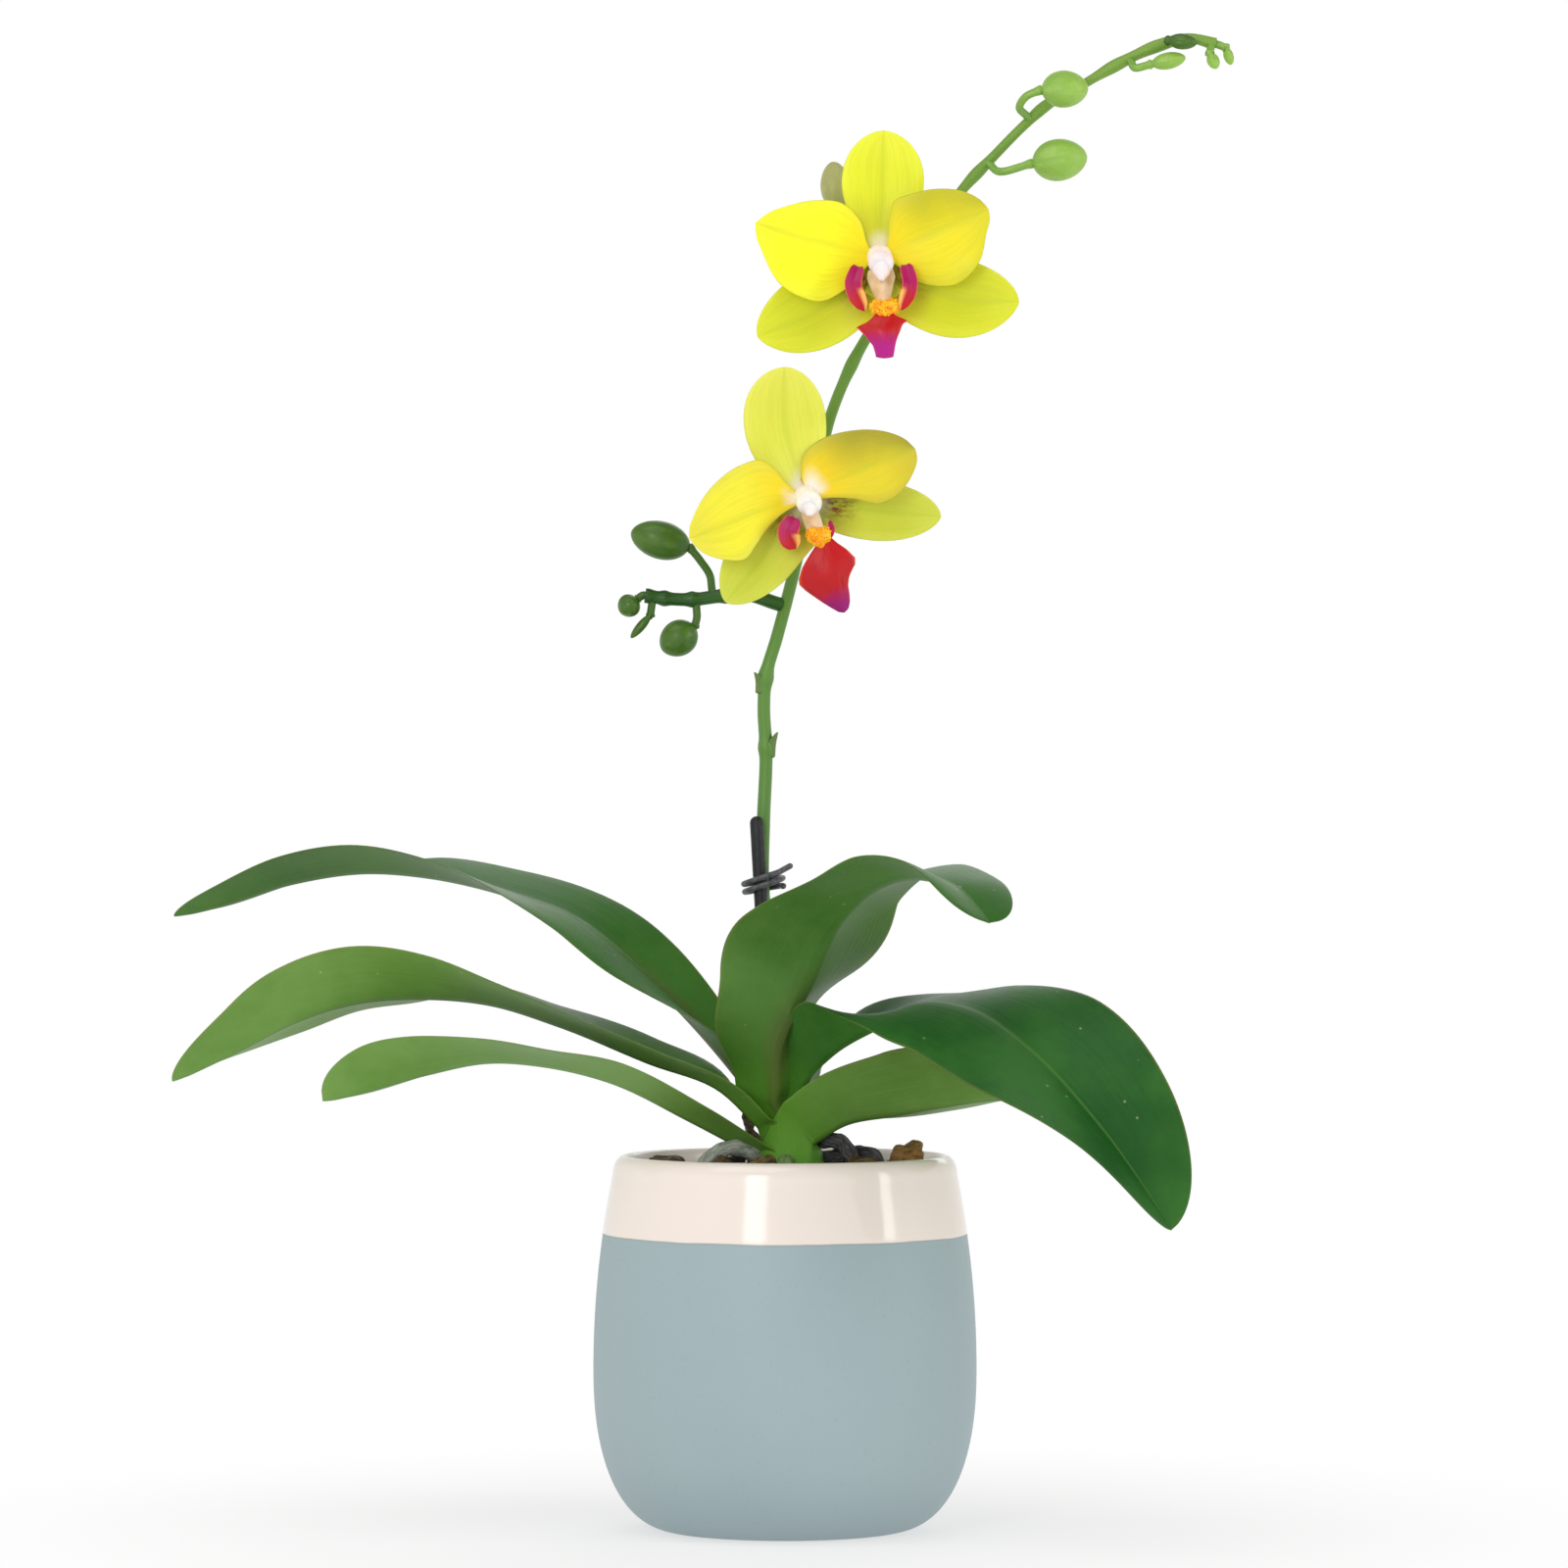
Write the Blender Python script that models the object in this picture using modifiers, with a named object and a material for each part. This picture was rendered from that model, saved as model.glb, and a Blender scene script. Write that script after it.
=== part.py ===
"""Potted moth orchid: a glazed pot of bark, six strap leaves on a short crown, and an arching
flower spike tied to a stake, with two open flowers and eleven buds.

Metres, +Z up. The origin is the centre of the pot's flat foot. Tables are in millimetres:
those of the plant are measured from the centre of the medium's top, those of a flower
across (u), up (v) and out towards the viewer (n) from the middle of the flower.
"""

import math
import random

import bmesh
import bpy
import numpy as np
from mathutils import Vector

MM = 0.001
CLEARANCE = 0.3 * MM          # gap that neighbouring pieces keep

# pot
POT_HEIGHT = 88 * MM
POT_BELLY_RADIUS = 45 * MM
POT_BELLY_HEIGHT = 38 * MM
POT_FOOT_RADIUS = 25 * MM
POT_TAPER = 4.6 * MM          # how much narrower the pot is under its lip than at its belly
POT_WALL = 4.4 * MM
POT_FLOOR = 5 * MM
POT_LIP_HEIGHT = 4.5 * MM
POT_LIP_INSIDE = 1.4 * MM     # width of the lip's inner rounding
POT_SQUARENESS = 2.3          # exponent of the rounded lower wall, 2 is a plain ellipse
ROUND_STEPS = 48

# potting medium
HEADSPACE = 6 * MM            # from the top of the lip down to the middle of the medium
MEDIUM_DOME = 2 * MM          # height of the medium's middle over its edge

# plant
CROWN_X = 1 * MM
CROWN_RADIUS = 8.2 * MM
CROWN_HEIGHT = 36 * MM
LEAF_THICKNESS = 1.2 * MM
TEPAL_THICKNESS = 0.8 * MM
SPIKE_RADIUS = 1.6 * MM
SPIKE_TIP_RADIUS = 0.9 * MM
BRANCH_RADIUS = 1.7 * MM
PEDICEL_RADIUS = 0.75 * MM
COLUMN_RADIUS = 1.7 * MM
ROOT_RADIUS = 1.9 * MM

# stake and tie
STAKE_RADIUS = 1.6 * MM
STAKE_ABOVE = 85.5 * MM
STAKE_BELOW = 55 * MM
STAKE_LEAN = 0.056            # how far its foot moves to the right for each unit of depth
TIE_RADIUS = 0.62 * MM
TIE_PITCH = 2.9 * MM

MEDIUM_TOP = POT_HEIGHT - HEADSPACE
POT_LIP_BASE = POT_HEIGHT - POT_LIP_HEIGHT


# ---------------------------------------------------------------- scene

def clear_scene():
    for old in list(bpy.data.objects):
        bpy.data.objects.remove(old, do_unlink=True)


def new_collection(name):
    collection = bpy.data.collections.new(name)
    bpy.context.scene.collection.children.link(collection)
    return collection


clear_scene()
PARTS = new_collection("potted_orchid")
CUTTERS = new_collection("cutters")


def finish(name, color, roughness, coat=0.0):
    material = bpy.data.materials.new(name)
    material.use_nodes = True
    shader = material.node_tree.nodes["Principled BSDF"]
    shader.inputs["Base Color"].default_value = (*color, 1)
    shader.inputs["Roughness"].default_value = roughness
    shader.inputs["Coat Weight"].default_value = coat
    return material


def put_in_scene(name, data, material):
    obj = bpy.data.objects.new(name, data)
    PARTS.objects.link(obj)
    if material:
        data.materials.append(material)
    return obj


def make_cutter(obj):
    PARTS.objects.unlink(obj)
    CUTTERS.objects.link(obj)
    obj.hide_render = True
    obj.display_type = "WIRE"
    return obj


def boolean(obj, other, operation):
    modifier = obj.modifiers.new(operation.lower(), "BOOLEAN")
    modifier.operation = operation
    modifier.solver = "EXACT"
    modifier.object = other


# ---------------------------------------------------------------- shapes

def smooth(points, fractions):
    """Values at fractions of the length of a smooth curve through the points."""
    knots = np.array(points, float)
    lengths = np.linalg.norm(np.diff(knots[:, :3], axis=0), axis=1)
    stops = np.concatenate([[0], np.cumsum(lengths)]) / lengths.sum()
    slopes = np.gradient(knots, stops, axis=0)
    values = []
    for fraction in fractions:
        i = min(int(np.searchsorted(stops, fraction, side="right")) - 1, len(stops) - 2)
        width = stops[i + 1] - stops[i]
        t = (fraction - stops[i]) / width
        values.append(
            knots[i] * (2 * t**3 - 3 * t**2 + 1)
            + slopes[i] * width * (t**3 - 2 * t**2 + t)
            + knots[i + 1] * (3 * t**2 - 2 * t**3)
            + slopes[i + 1] * width * (t**3 - t**2)
        )
    return np.array(values)


def evenly(count):
    return [i / count for i in range(count + 1)]


def plant(x, y, z):
    """A place on the plant, in millimetres from the middle of the medium's top."""
    return Vector((x * MM, y * MM, z * MM + MEDIUM_TOP))


def aloft(x, y, z):
    """A place on the flower spike: as on the plant, with depth from the plane of the spike's foot."""
    return plant(x, y, z) + Vector((0, SPIKE_Y, 0))


def lathe(name, profile, material, steps=ROUND_STEPS):
    """A turned solid: the profile holds (radius, height) from inside or top to the bottom."""
    mesh = bpy.data.meshes.new(name)
    edges = [(i, i + 1) for i in range(len(profile) - 1)]
    mesh.from_pydata([(radius, 0, height) for radius, height in profile], edges, [])
    obj = put_in_scene(name, mesh, material)
    screw = obj.modifiers.new("turn", "SCREW")
    screw.angle = math.tau
    screw.steps = steps
    screw.render_steps = steps
    screw.use_merge_vertices = True
    screw.merge_threshold = 0.00002
    return obj


def tube(name, route, radii, material, sides=2):
    """A round stem through every point of the route, with a radius at each point."""
    curve = bpy.data.curves.new(name, "CURVE")
    curve.dimensions = "3D"
    curve.bevel_depth = 1
    curve.bevel_resolution = sides
    curve.use_fill_caps = True
    spline = curve.splines.new("POLY")
    spline.points.add(len(route) - 1)
    for point, place, radius in zip(spline.points, route, radii):
        point.co = (*place, 1)
        point.radius = radius
    spline.use_smooth = True
    return put_in_scene(name, curve, material)


def blade_width(at, base, widest, tip):
    """Half-width of a leaf or petal as a share of its greatest, from 0 at the base to 1 at the tip."""
    if at <= widest:
        return base + (1 - base) * math.sin(math.pi / 2 * at / widest) ** 1.3
    return (1 - ((at - widest) / (1 - widest)) ** 2.2) ** tip


def blade(name, stations, half_width, shape, thickness, material, rows=14, half_cells=2,
          arch=0.12, face=(0, 0, 1), width_rule=blade_width):
    """A thin blade along its midrib. A station holds the midrib's place and how far the left
    and right halves rise from flat, in degrees, as seen looking to the tip with the face up.
    """
    fractions = [1 - (1 - i / rows) ** 1.35 for i in range(rows + 1)]
    values = smooth(stations, fractions)
    tangents = np.gradient(values[:, :3], axis=0)
    mesh = bpy.data.meshes.new(name)
    bm = bmesh.new()
    lines = []
    for fraction, value, tangent in zip(fractions, values, tangents):
        middle = Vector(value[:3])
        along = Vector(tangent).normalized()
        right = along.cross(Vector(face)).normalized()
        up = right.cross(along)
        width = half_width * width_rule(fraction, *shape)
        if fraction == 1:
            lines.append([bm.verts.new(middle)])
            continue
        line = []
        for cell in range(-half_cells, half_cells + 1):
            share = abs(cell) / half_cells
            rise = math.radians(value[4] if cell > 0 else value[3])
            side = math.copysign(1, cell) * right
            out = side * math.cos(rise) + up * math.sin(rise)
            bulge = up * arch * (share - share * share)
            line.append(bm.verts.new(middle + width * (share * out + bulge)))
        lines.append(line)
    for near, far in zip(lines, lines[1:]):
        for i in range(2 * half_cells):
            if len(far) == 1:
                bm.faces.new((near[i], near[i + 1], far[0]))
            else:
                bm.faces.new((near[i], near[i + 1], far[i + 1], far[i]))
    bm.to_mesh(mesh)
    bm.free()
    mesh.shade_smooth()
    obj = put_in_scene(name, mesh, material)
    solidify = obj.modifiers.new("thickness", "SOLIDIFY")
    solidify.thickness = thickness
    solidify.offset = 0
    return obj


def ellipsoid(name, centre, radii, material, segments=12, rings=8):
    mesh = bpy.data.meshes.new(name)
    bm = bmesh.new()
    bmesh.ops.create_uvsphere(bm, u_segments=segments, v_segments=rings, radius=1)
    for vert in bm.verts:
        vert.co = Vector(centre) + Vector([c * r for c, r in zip(vert.co, radii)])
    bm.to_mesh(mesh)
    bm.free()
    mesh.shade_smooth()
    return put_in_scene(name, mesh, material)


# ---------------------------------------------------------------- pot and medium

def lower_wall(height, floor, foot, belly):
    """Radius of the rounded lower wall: a quarter of a squarish ellipse from the foot to the belly."""
    drop = (POT_BELLY_HEIGHT - height) / (POT_BELLY_HEIGHT - floor)
    share = max(0.0, 1 - drop**POT_SQUARENESS)
    return foot + (belly - foot) * share ** (1 / POT_SQUARENESS)


def outer_radius(height):
    if height < POT_BELLY_HEIGHT:
        return lower_wall(height, 0, POT_FOOT_RADIUS, POT_BELLY_RADIUS)
    rise = (height - POT_BELLY_HEIGHT) / (POT_LIP_BASE - POT_BELLY_HEIGHT)
    return POT_BELLY_RADIUS - POT_TAPER * rise**2


def inner_radius(height):
    if height < POT_BELLY_HEIGHT:
        return lower_wall(height, POT_FLOOR, POT_FOOT_RADIUS, POT_BELLY_RADIUS - POT_WALL)
    return outer_radius(height) - POT_WALL


def wall_heights(floor, count):
    """Heights from the floor up to the belly, closer together where the wall curves most."""
    return [
        floor + (POT_BELLY_HEIGHT - floor) * (1 - math.cos(math.pi / 2 * i / count))
        for i in range(count)
    ]


def upper_heights(top, count=4):
    return [POT_BELLY_HEIGHT + (top - POT_BELLY_HEIGHT) * i / count for i in range(count + 1)]


def inner_heights():
    return wall_heights(POT_FLOOR, 5) + upper_heights(POT_LIP_BASE)


def pot():
    outside = wall_heights(0, 8) + upper_heights(POT_LIP_BASE)
    lip_top_radius = inner_radius(POT_LIP_BASE) + POT_LIP_INSIDE
    lip_outside = POT_WALL - POT_LIP_INSIDE
    profile = [(0, POT_FLOOR)]
    profile += [(inner_radius(height), height) for height in inner_heights()]
    for turn in (150, 120, 90, 60, 35, 15):
        angle = math.radians(turn)
        reach = POT_LIP_INSIDE if turn > 90 else lip_outside
        profile.append((
            lip_top_radius + reach * math.cos(angle),
            POT_LIP_BASE + POT_LIP_HEIGHT * math.sin(angle),
        ))
    profile += [(outer_radius(height), height) for height in reversed(outside)]
    profile.append((0, 0))
    return lathe("pot", profile, finish("pot_glaze", (0.34, 0.44, 0.46), 0.45))


def medium_height(x, y):
    return MEDIUM_TOP - MEDIUM_DOME * (x * x + y * y) / inner_radius(MEDIUM_TOP) ** 2


def potting_medium():
    edge = inner_radius(MEDIUM_TOP) - 1.3 * CLEARANCE
    edge_height = medium_height(edge, 0)
    profile = [(edge * i / 4, medium_height(edge * i / 4, 0)) for i in range(5)]
    for height in reversed(inner_heights()):
        if height < edge_height - CLEARANCE:
            lifted = max(height, POT_FLOOR + CLEARANCE)
            profile.append((inner_radius(height) - 1.3 * CLEARANCE, lifted))
    profile.append((0, POT_FLOOR + CLEARANCE))
    medium = lathe("potting_medium", profile, finish("bark_mix", (0.08, 0.05, 0.03), 0.95))
    hole = stake_rod("stake_hole", CLEARANCE, None)
    data = bpy.data.meshes.new_from_object(hole.evaluated_get(bpy.context.evaluated_depsgraph_get()))
    bm = bmesh.new()
    bm.from_mesh(data)
    bmesh.ops.remove_doubles(bm, verts=bm.verts, dist=0.00001)
    bm.to_mesh(data)
    bm.free()
    bpy.data.objects.remove(hole)
    boolean(medium, make_cutter(put_in_scene("stake_hole", data, None)), "DIFFERENCE")
    return medium


# chips: place across and back as shares of the medium's radius, length, width, height, turn, tilt
CHIPS = (
    (0.47, -0.39, 9, 6, 5, 60, 20),
    (0.785, -0.22, 9, 7.5, 10, 80, 8),
    (0.75, 0.19, 8, 6, 5, 75, -8),
    (-0.46, -0.38, 9, 6, 6, 30, 10),
    (-0.77, -0.13, 9, 6, 6, -20, -8),
    (-0.385, 0.3, 9, 7, 5, -50, 12),
    (0.165, -0.58, 11, 7, 4, 8, 6),
    (-0.165, -0.71, 8, 6, 3.5, -15, -5),
)


def bark_chip(number, across, back, length, width, height, turn, tilt):
    """A splintery block of bark resting on the medium."""
    rng = random.Random(number)
    x = across * inner_radius(MEDIUM_TOP)
    y = back * inner_radius(MEDIUM_TOP)
    name = f"bark_chip_{number}"
    mesh = bpy.data.meshes.new(name)
    bm = bmesh.new()
    bmesh.ops.create_cube(bm, size=1)
    bmesh.ops.subdivide_edges(bm, edges=bm.edges, cuts=1, use_grid_fill=True)
    turned = math.radians(turn)
    tilted = math.radians(tilt)
    lift = -1.0
    for vert in bm.verts:
        co = vert.co * (1 + 0.22 * (rng.random() - 0.5)) * (1.12 - 0.25 * vert.co.length)
        co = Vector((co.x * length, co.y * width, co.z * height)) * MM
        leaned = Vector((
            co.x * math.cos(tilted) - co.z * math.sin(tilted),
            co.y,
            co.x * math.sin(tilted) + co.z * math.cos(tilted),
        ))
        vert.co = (
            x + leaned.x * math.cos(turned) - leaned.y * math.sin(turned),
            y + leaned.x * math.sin(turned) + leaned.y * math.cos(turned),
            leaned.z,
        )
        lift = max(lift, medium_height(vert.co.x, vert.co.y) + CLEARANCE - vert.co.z)
    bmesh.ops.translate(bm, verts=bm.verts, vec=(0, 0, lift))
    bm.to_mesh(mesh)
    bm.free()
    return put_in_scene(name, mesh, finish("bark", (0.1, 0.06, 0.03), 0.9))


# ---------------------------------------------------------------- stake and tie

STAKE_Y = CROWN_RADIUS + STAKE_RADIUS + CLEARANCE
STAKE_FOOT_X = -2 * MM        # where the stake's middle passes the medium's top


def stake_place(height):
    """The middle of the stake at a height above the medium."""
    return Vector((STAKE_FOOT_X - STAKE_LEAN * height, STAKE_Y, MEDIUM_TOP + height))


def stake_rod(name, extra, material):
    radius = STAKE_RADIUS + extra
    bottom = -STAKE_BELOW - extra
    shoulder = STAKE_ABOVE - 0.7 * STAKE_RADIUS
    heights = [bottom, shoulder, STAKE_ABOVE - 0.25 * STAKE_RADIUS, STAKE_ABOVE]
    shares = [1, 1, 0.72, 0.3]
    return tube(
        name, [stake_place(h) for h in heights], [radius * share for share in shares], material, 4
    )


def spike_centre(height):
    """The middle of the flower spike at a height above the medium, low on the plant."""
    stops = smooth(SPIKE, [i / 400 for i in range(200)])
    return aloft(*stops[int(np.argmin(np.abs(stops[:, 2] * MM - height)))])


def tie_wire():
    """Two loops of coated wire round the stake and the spike, with one free end."""
    middle_height = 69.5 * MM
    front = STAKE_Y - STAKE_RADIUS - CLEARANCE - TIE_RADIUS
    back = spike_centre(middle_height).y + SPIKE_RADIUS + CLEARANCE + TIE_RADIUS
    centre_x = (stake_place(middle_height).x + spike_centre(middle_height).x) / 2 + 0.6 * MM
    centre = Vector((centre_x, (front + back) / 2, MEDIUM_TOP + middle_height))
    half_depth = (back - front) / 2
    turns = 2.1
    route = []
    for step in range(int(turns * 18) + 1):
        angle = math.tau * step / 18
        drop = TIE_PITCH * (turns / 2 - step / 18)
        route.append(centre + Vector((
            half_depth * 1.05 * math.cos(angle), -half_depth * math.sin(angle), drop)))
    free_end = [route[0] + Vector((1.2, 1, 1.9)) * MM, route[0] + Vector((0.5, 0.8, 0.9)) * MM]
    route = free_end + route
    return tube("tie_wire", route, [TIE_RADIUS] * len(route), finish("tie", (0.07, 0.07, 0.08), 0.5))


# ---------------------------------------------------------------- leaves

def crown_profile(extra):
    shares = ((1, 0), (1, 0.18), (0.94, 0.36), (0.82, 0.55), (0.66, 0.72), (0.45, 0.88), (0.2, 0.98))
    bottom = CLEARANCE - extra
    profile = [(0, CROWN_HEIGHT + extra)]
    profile += [
        (CROWN_RADIUS * radius + extra, bottom + (CROWN_HEIGHT - bottom) * height + extra * height)
        for radius, height in reversed(shares)
    ]
    return profile + [(0, bottom)]


def crown(name, extra, material):
    obj = lathe(name, crown_profile(extra), material, 20)
    obj.location = (CROWN_X, 0, MEDIUM_TOP)
    return obj


# stations: x, y, z of the midrib, then how far the left and right halves rise
LEAVES = {
    "leaf_upper_left": {
        "half_width": 17.5, "shape": (0.38, 0.55, 0.85),
        "stations": (
            (-6, 1, 18, 50, 62), (-11, 1.5, 24.6, 42, 58), (-18, 2, 33, 18, 52),
            (-34.6, 4, 49.6, -14, 42), (-51, 6, 62, -10, 23), (-64, 7, 66.8, 0, 18),
            (-85, 8, 71.6, 14, 14), (-99, 9, 72.5, 21, 4), (-116, 10, 70, 27, 0),
            (-133.6, 11, 64.5, 32, -4), (-144.6, 12, 61.8, 34, -4),
        ),
    },
    "leaf_middle_left": {
        "half_width": 18, "shape": (0.36, 0.66, 0.76),
        "stations": (
            (-6, -5, 13.4, 15, 12), (-15, -7, 22, 16, 24), (-31.7, -7, 28.4, 18, 26),
            (-52.8, -7, 37, 14, 19), (-69, -8, 42, 18, 22), (-84, -9, 43.4, 33, -4),
            (-100, -10, 42.3, 46, -8), (-114, -11, 38, 50, -12), (-127, -12, 31.4, 48, -8),
            (-142.8, -14, 23.8, 48, -4),
        ),
    },
    "leaf_lower_left": {
        "half_width": 15.5, "shape": (0.45, 0.68, 0.43),
        "stations": (
            (-5, -2, 5.5, 20, 10), (-21.7, -6, 14.6, 24, 12), (-41, -8, 24, 20, 4),
            (-56, -9, 27.4, 15, -4), (-69, -10, 28, 22, -6), (-84, -11, 25, 40, -6),
            (-98.5, -12, 21.5, 58, -6), (-107.8, -13, 19.2, 62, -4),
        ),
    },
    "leaf_upper_right": {
        "half_width": 21.5, "shape": (0.42, 0.42, 0.42),
        "stations": (
            (-2.2, -7, 18.4, 38, 38), (-1.5, -12.5, 31, 33, 34), (4.3, -20, 44.6, 23, 22),
            (11.4, -34, 60.2, 18, 8), (20.6, -46, 69.6, 10, 6), (28.8, -54, 72.8, 8, 16),
            (37.5, -62, 70, 6, 18), (45.9, -72, 61.8, 6, 12),
        ),
    },
    "leaf_middle_right": {
        "half_width": 21.5, "shape": (0.42, 0.64, 0.55),
        "stations": (
            (3, -11.5, 12, 40, 55), (6, -18, 25, 42, 58), (10.7, -23, 30.4, 46, 54),
            (23.5, -32, 38.4, 22, 8), (31.3, -39, 42.5, 6, -20), (41.7, -46, 41.4, 14, -26),
            (55.3, -55, 32.5, 40, -22), (70.5, -64, 16, 58, -4), (86.9, -71, -7.4, 58, 4),
        ),
    },
    "leaf_lower_right": {
        "half_width": 16.5, "shape": (0.5, 0.6, 0.5),
        "stations": (
            (6, 3, 8.4, 15, 50), (13.5, 1, 14.2, 0, 62), (26, -2, 16, -6, 68),
            (37, -6, 18, -6, 60), (50, -9, 19.8, -4, 47), (63, -12, 19, -4, 40),
            (76, -14, 16, -4, 40),
        ),
    },
}


def leaf(name, half_width, shape, stations, cutter):
    rows = [(*plant(*station[:3]), *station[3:]) for station in stations]
    green = finish("leaf_green", (0.07, 0.2, 0.05), 0.4)
    obj = blade(name, rows, half_width * MM, shape, LEAF_THICKNESS, green)
    boolean(obj, cutter, "DIFFERENCE")
    return obj


# ---------------------------------------------------------------- spike, branch and buds

SPIKE_Y = STAKE_Y + STAKE_RADIUS + SPIKE_RADIUS + CLEARANCE

SPIKE = (
    (3.2, -3.7, 12), (1, -1, 30), (-2.6, 0, 48), (-5.3, 0, 68.7), (-5.1, 0, 84), (-4.5, 0, 101.7),
    (-5, -0.3, 111), (-4.6, -0.5, 118.2), (-1.9, -0.9, 127.9), (0.6, -1.2, 137.2),
    (3, -1.6, 147), (6.6, -2.5, 161.5), (11.1, -3.6, 181), (16, -4.4, 192.6), (24, -5.6, 206),
    (32.6, -6.6, 219), (42.5, -8, 234), (49.1, -8.9, 240.9), (55.9, -9.7, 247.8),
    (61.6, -10.3, 252.9), (69, -11, 257), (78.2, -11.8, 262.3), (87.4, -12.6, 266.5),
    (95, -13.2, 268.3), (101.2, -13.5, 266.9),
)
BRANCH = ((-9, -2.6, 137.9), (-15.3, -3.6, 137.5), (-21.8, -4, 136.7), (-28, -4.6, 136.9), (-33, -5, 137.6))

# buds: the stem each grows from, its stalk's route, its tip, and its radius
BUDS = {
    "spike_bud_behind_flower": (
        "spike", ((27, -1.5, 215), (20, 0.4, 218), (12.5, 0.4, 229)), (11.4, 0.4, 240.5), 3.7),
    "spike_bud_low": ("spike", ((50.1, -13.6, 237), (58, -15.6, 238.7)), (70.9, -15.6, 240.4), 5),
    "spike_bud_middle": (
        "spike", ((55, -15.6, 252), (56.6, -18.6, 254.2), (60, -19.6, 255.6)), (71, -19.6, 255.9), 4.4),
    "spike_bud_small": ("spike", ((82, -15.4, 261.2), (86, -15.6, 262)), (94, -15.6, 263.6), 2),
    "spike_bud_tiny": ("spike", ((89.8, -17, 267.4),), (96.6, -18, 266.8), 1.9),
    "spike_bud_end_left": ("spike", ((99.6, -16.2, 264.4),), (101.2, -17.4, 260.8), 1.5),
    "spike_bud_end_right": ("spike_tip", ((103.6, -13.8, 266),), (104.8, -13.8, 262), 1.2),
    "branch_bud_large": (
        "branch", ((-17.6, -4.1, 142), (-20, -4.6, 145.9), (-22.5, -5, 149)), (-36.3, -6.6, 152.5), 4.6),
    "branch_bud_round": ("branch", ((-20.8, -4.6, 132.6), (-21.3, -4.8, 130.4)), (-29, -5.6, 124.6), 4.3),
    "branch_bud_end": ("branch_tip", ((-34.8, -5.2, 136.8),), (-38.9, -6, 133.5), 2.8),
    "branch_bud_narrow": ("branch", ((-31.8, -4.6, 133),), (-36.4, -4.2, 127.6), 1.1),
}


def stem(name, route, radius, tip_radius, count, material):
    """A tapering stem, and its places and radii for what grows from it."""
    fractions = evenly(count)
    radii = [radius + (tip_radius - radius) * f for f in fractions]
    places = [Vector(place) for place in smooth(route, fractions)]
    tube(name, places, radii, material)
    return places, radii


def sprout(grown, aim):
    """The first two places of a stalk that leaves a stem square to it, on the side of the aim."""
    places, radii = grown
    joints = []
    for i, (lower, upper) in enumerate(zip(places, places[1:])):
        share = (aim - lower).dot(upper - lower) / (upper - lower).length_squared
        joint = lower.lerp(upper, min(1, max(0, share)))
        joints.append(((aim - joint).length, i, joint))
    _, i, joint = min(joints, key=lambda found: found[0])
    out = (aim - joint).normalized()
    start = joint + out * (radii[i] + CLEARANCE)
    return [start, start + out * 0.8 * MM]


def sprout_from_tip(grown):
    places, radii = grown
    along = (places[-1] - places[-2]).normalized()
    return [places[-1] + along * CLEARANCE, places[-1] + along * (CLEARANCE + 0.6 * MM)]


def bud(name, start, route, tip, bud_radius, material):
    """A bud on its stalk, grown as one piece."""
    stalk = start + [aloft(*point) for point in route]
    stalk_length = sum((b - a).length for a, b in zip(stalk, stalk[1:]))
    fractions = evenly(max(3, round(stalk_length / (2.2 * MM))))
    places = [Vector(place) for place in smooth(stalk, fractions)]
    radii = [PEDICEL_RADIUS] * len(places)
    axis = aloft(*tip) - stalk[-1]
    for share in (0.05, 0.15, 0.3, 0.5, 0.7, 0.85, 0.95, 1):
        places.append(stalk[-1] + axis * share)
        full = (4 * share * (1 - share)) ** 0.6 if share < 1 else 0.08
        radii.append(max(bud_radius * MM * full, PEDICEL_RADIUS * 0.5))
    return tube(name, places, radii, material)


def bract(name, height, outward, length, material):
    """A dry scale that hugs one side of the spike at a joint."""
    reach = SPIKE_RADIUS + CLEARANCE + 0.5 * MM
    side = Vector(outward).normalized()
    rows = []
    for share, flare, wrap in ((0, 0, -44), (0.5, 0.1, -42), (1, 0.7, -20)):
        centre = spike_centre(height * MM + share * length)
        rows.append((*(centre + side * (reach + flare * MM)), wrap, wrap))
    return blade(
        name, rows, 1.5 * MM, (0.8, 0.4, 0.6), 0.5 * MM, material, rows=5, half_cells=2, face=side
    )


# ---------------------------------------------------------------- flowers

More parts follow.
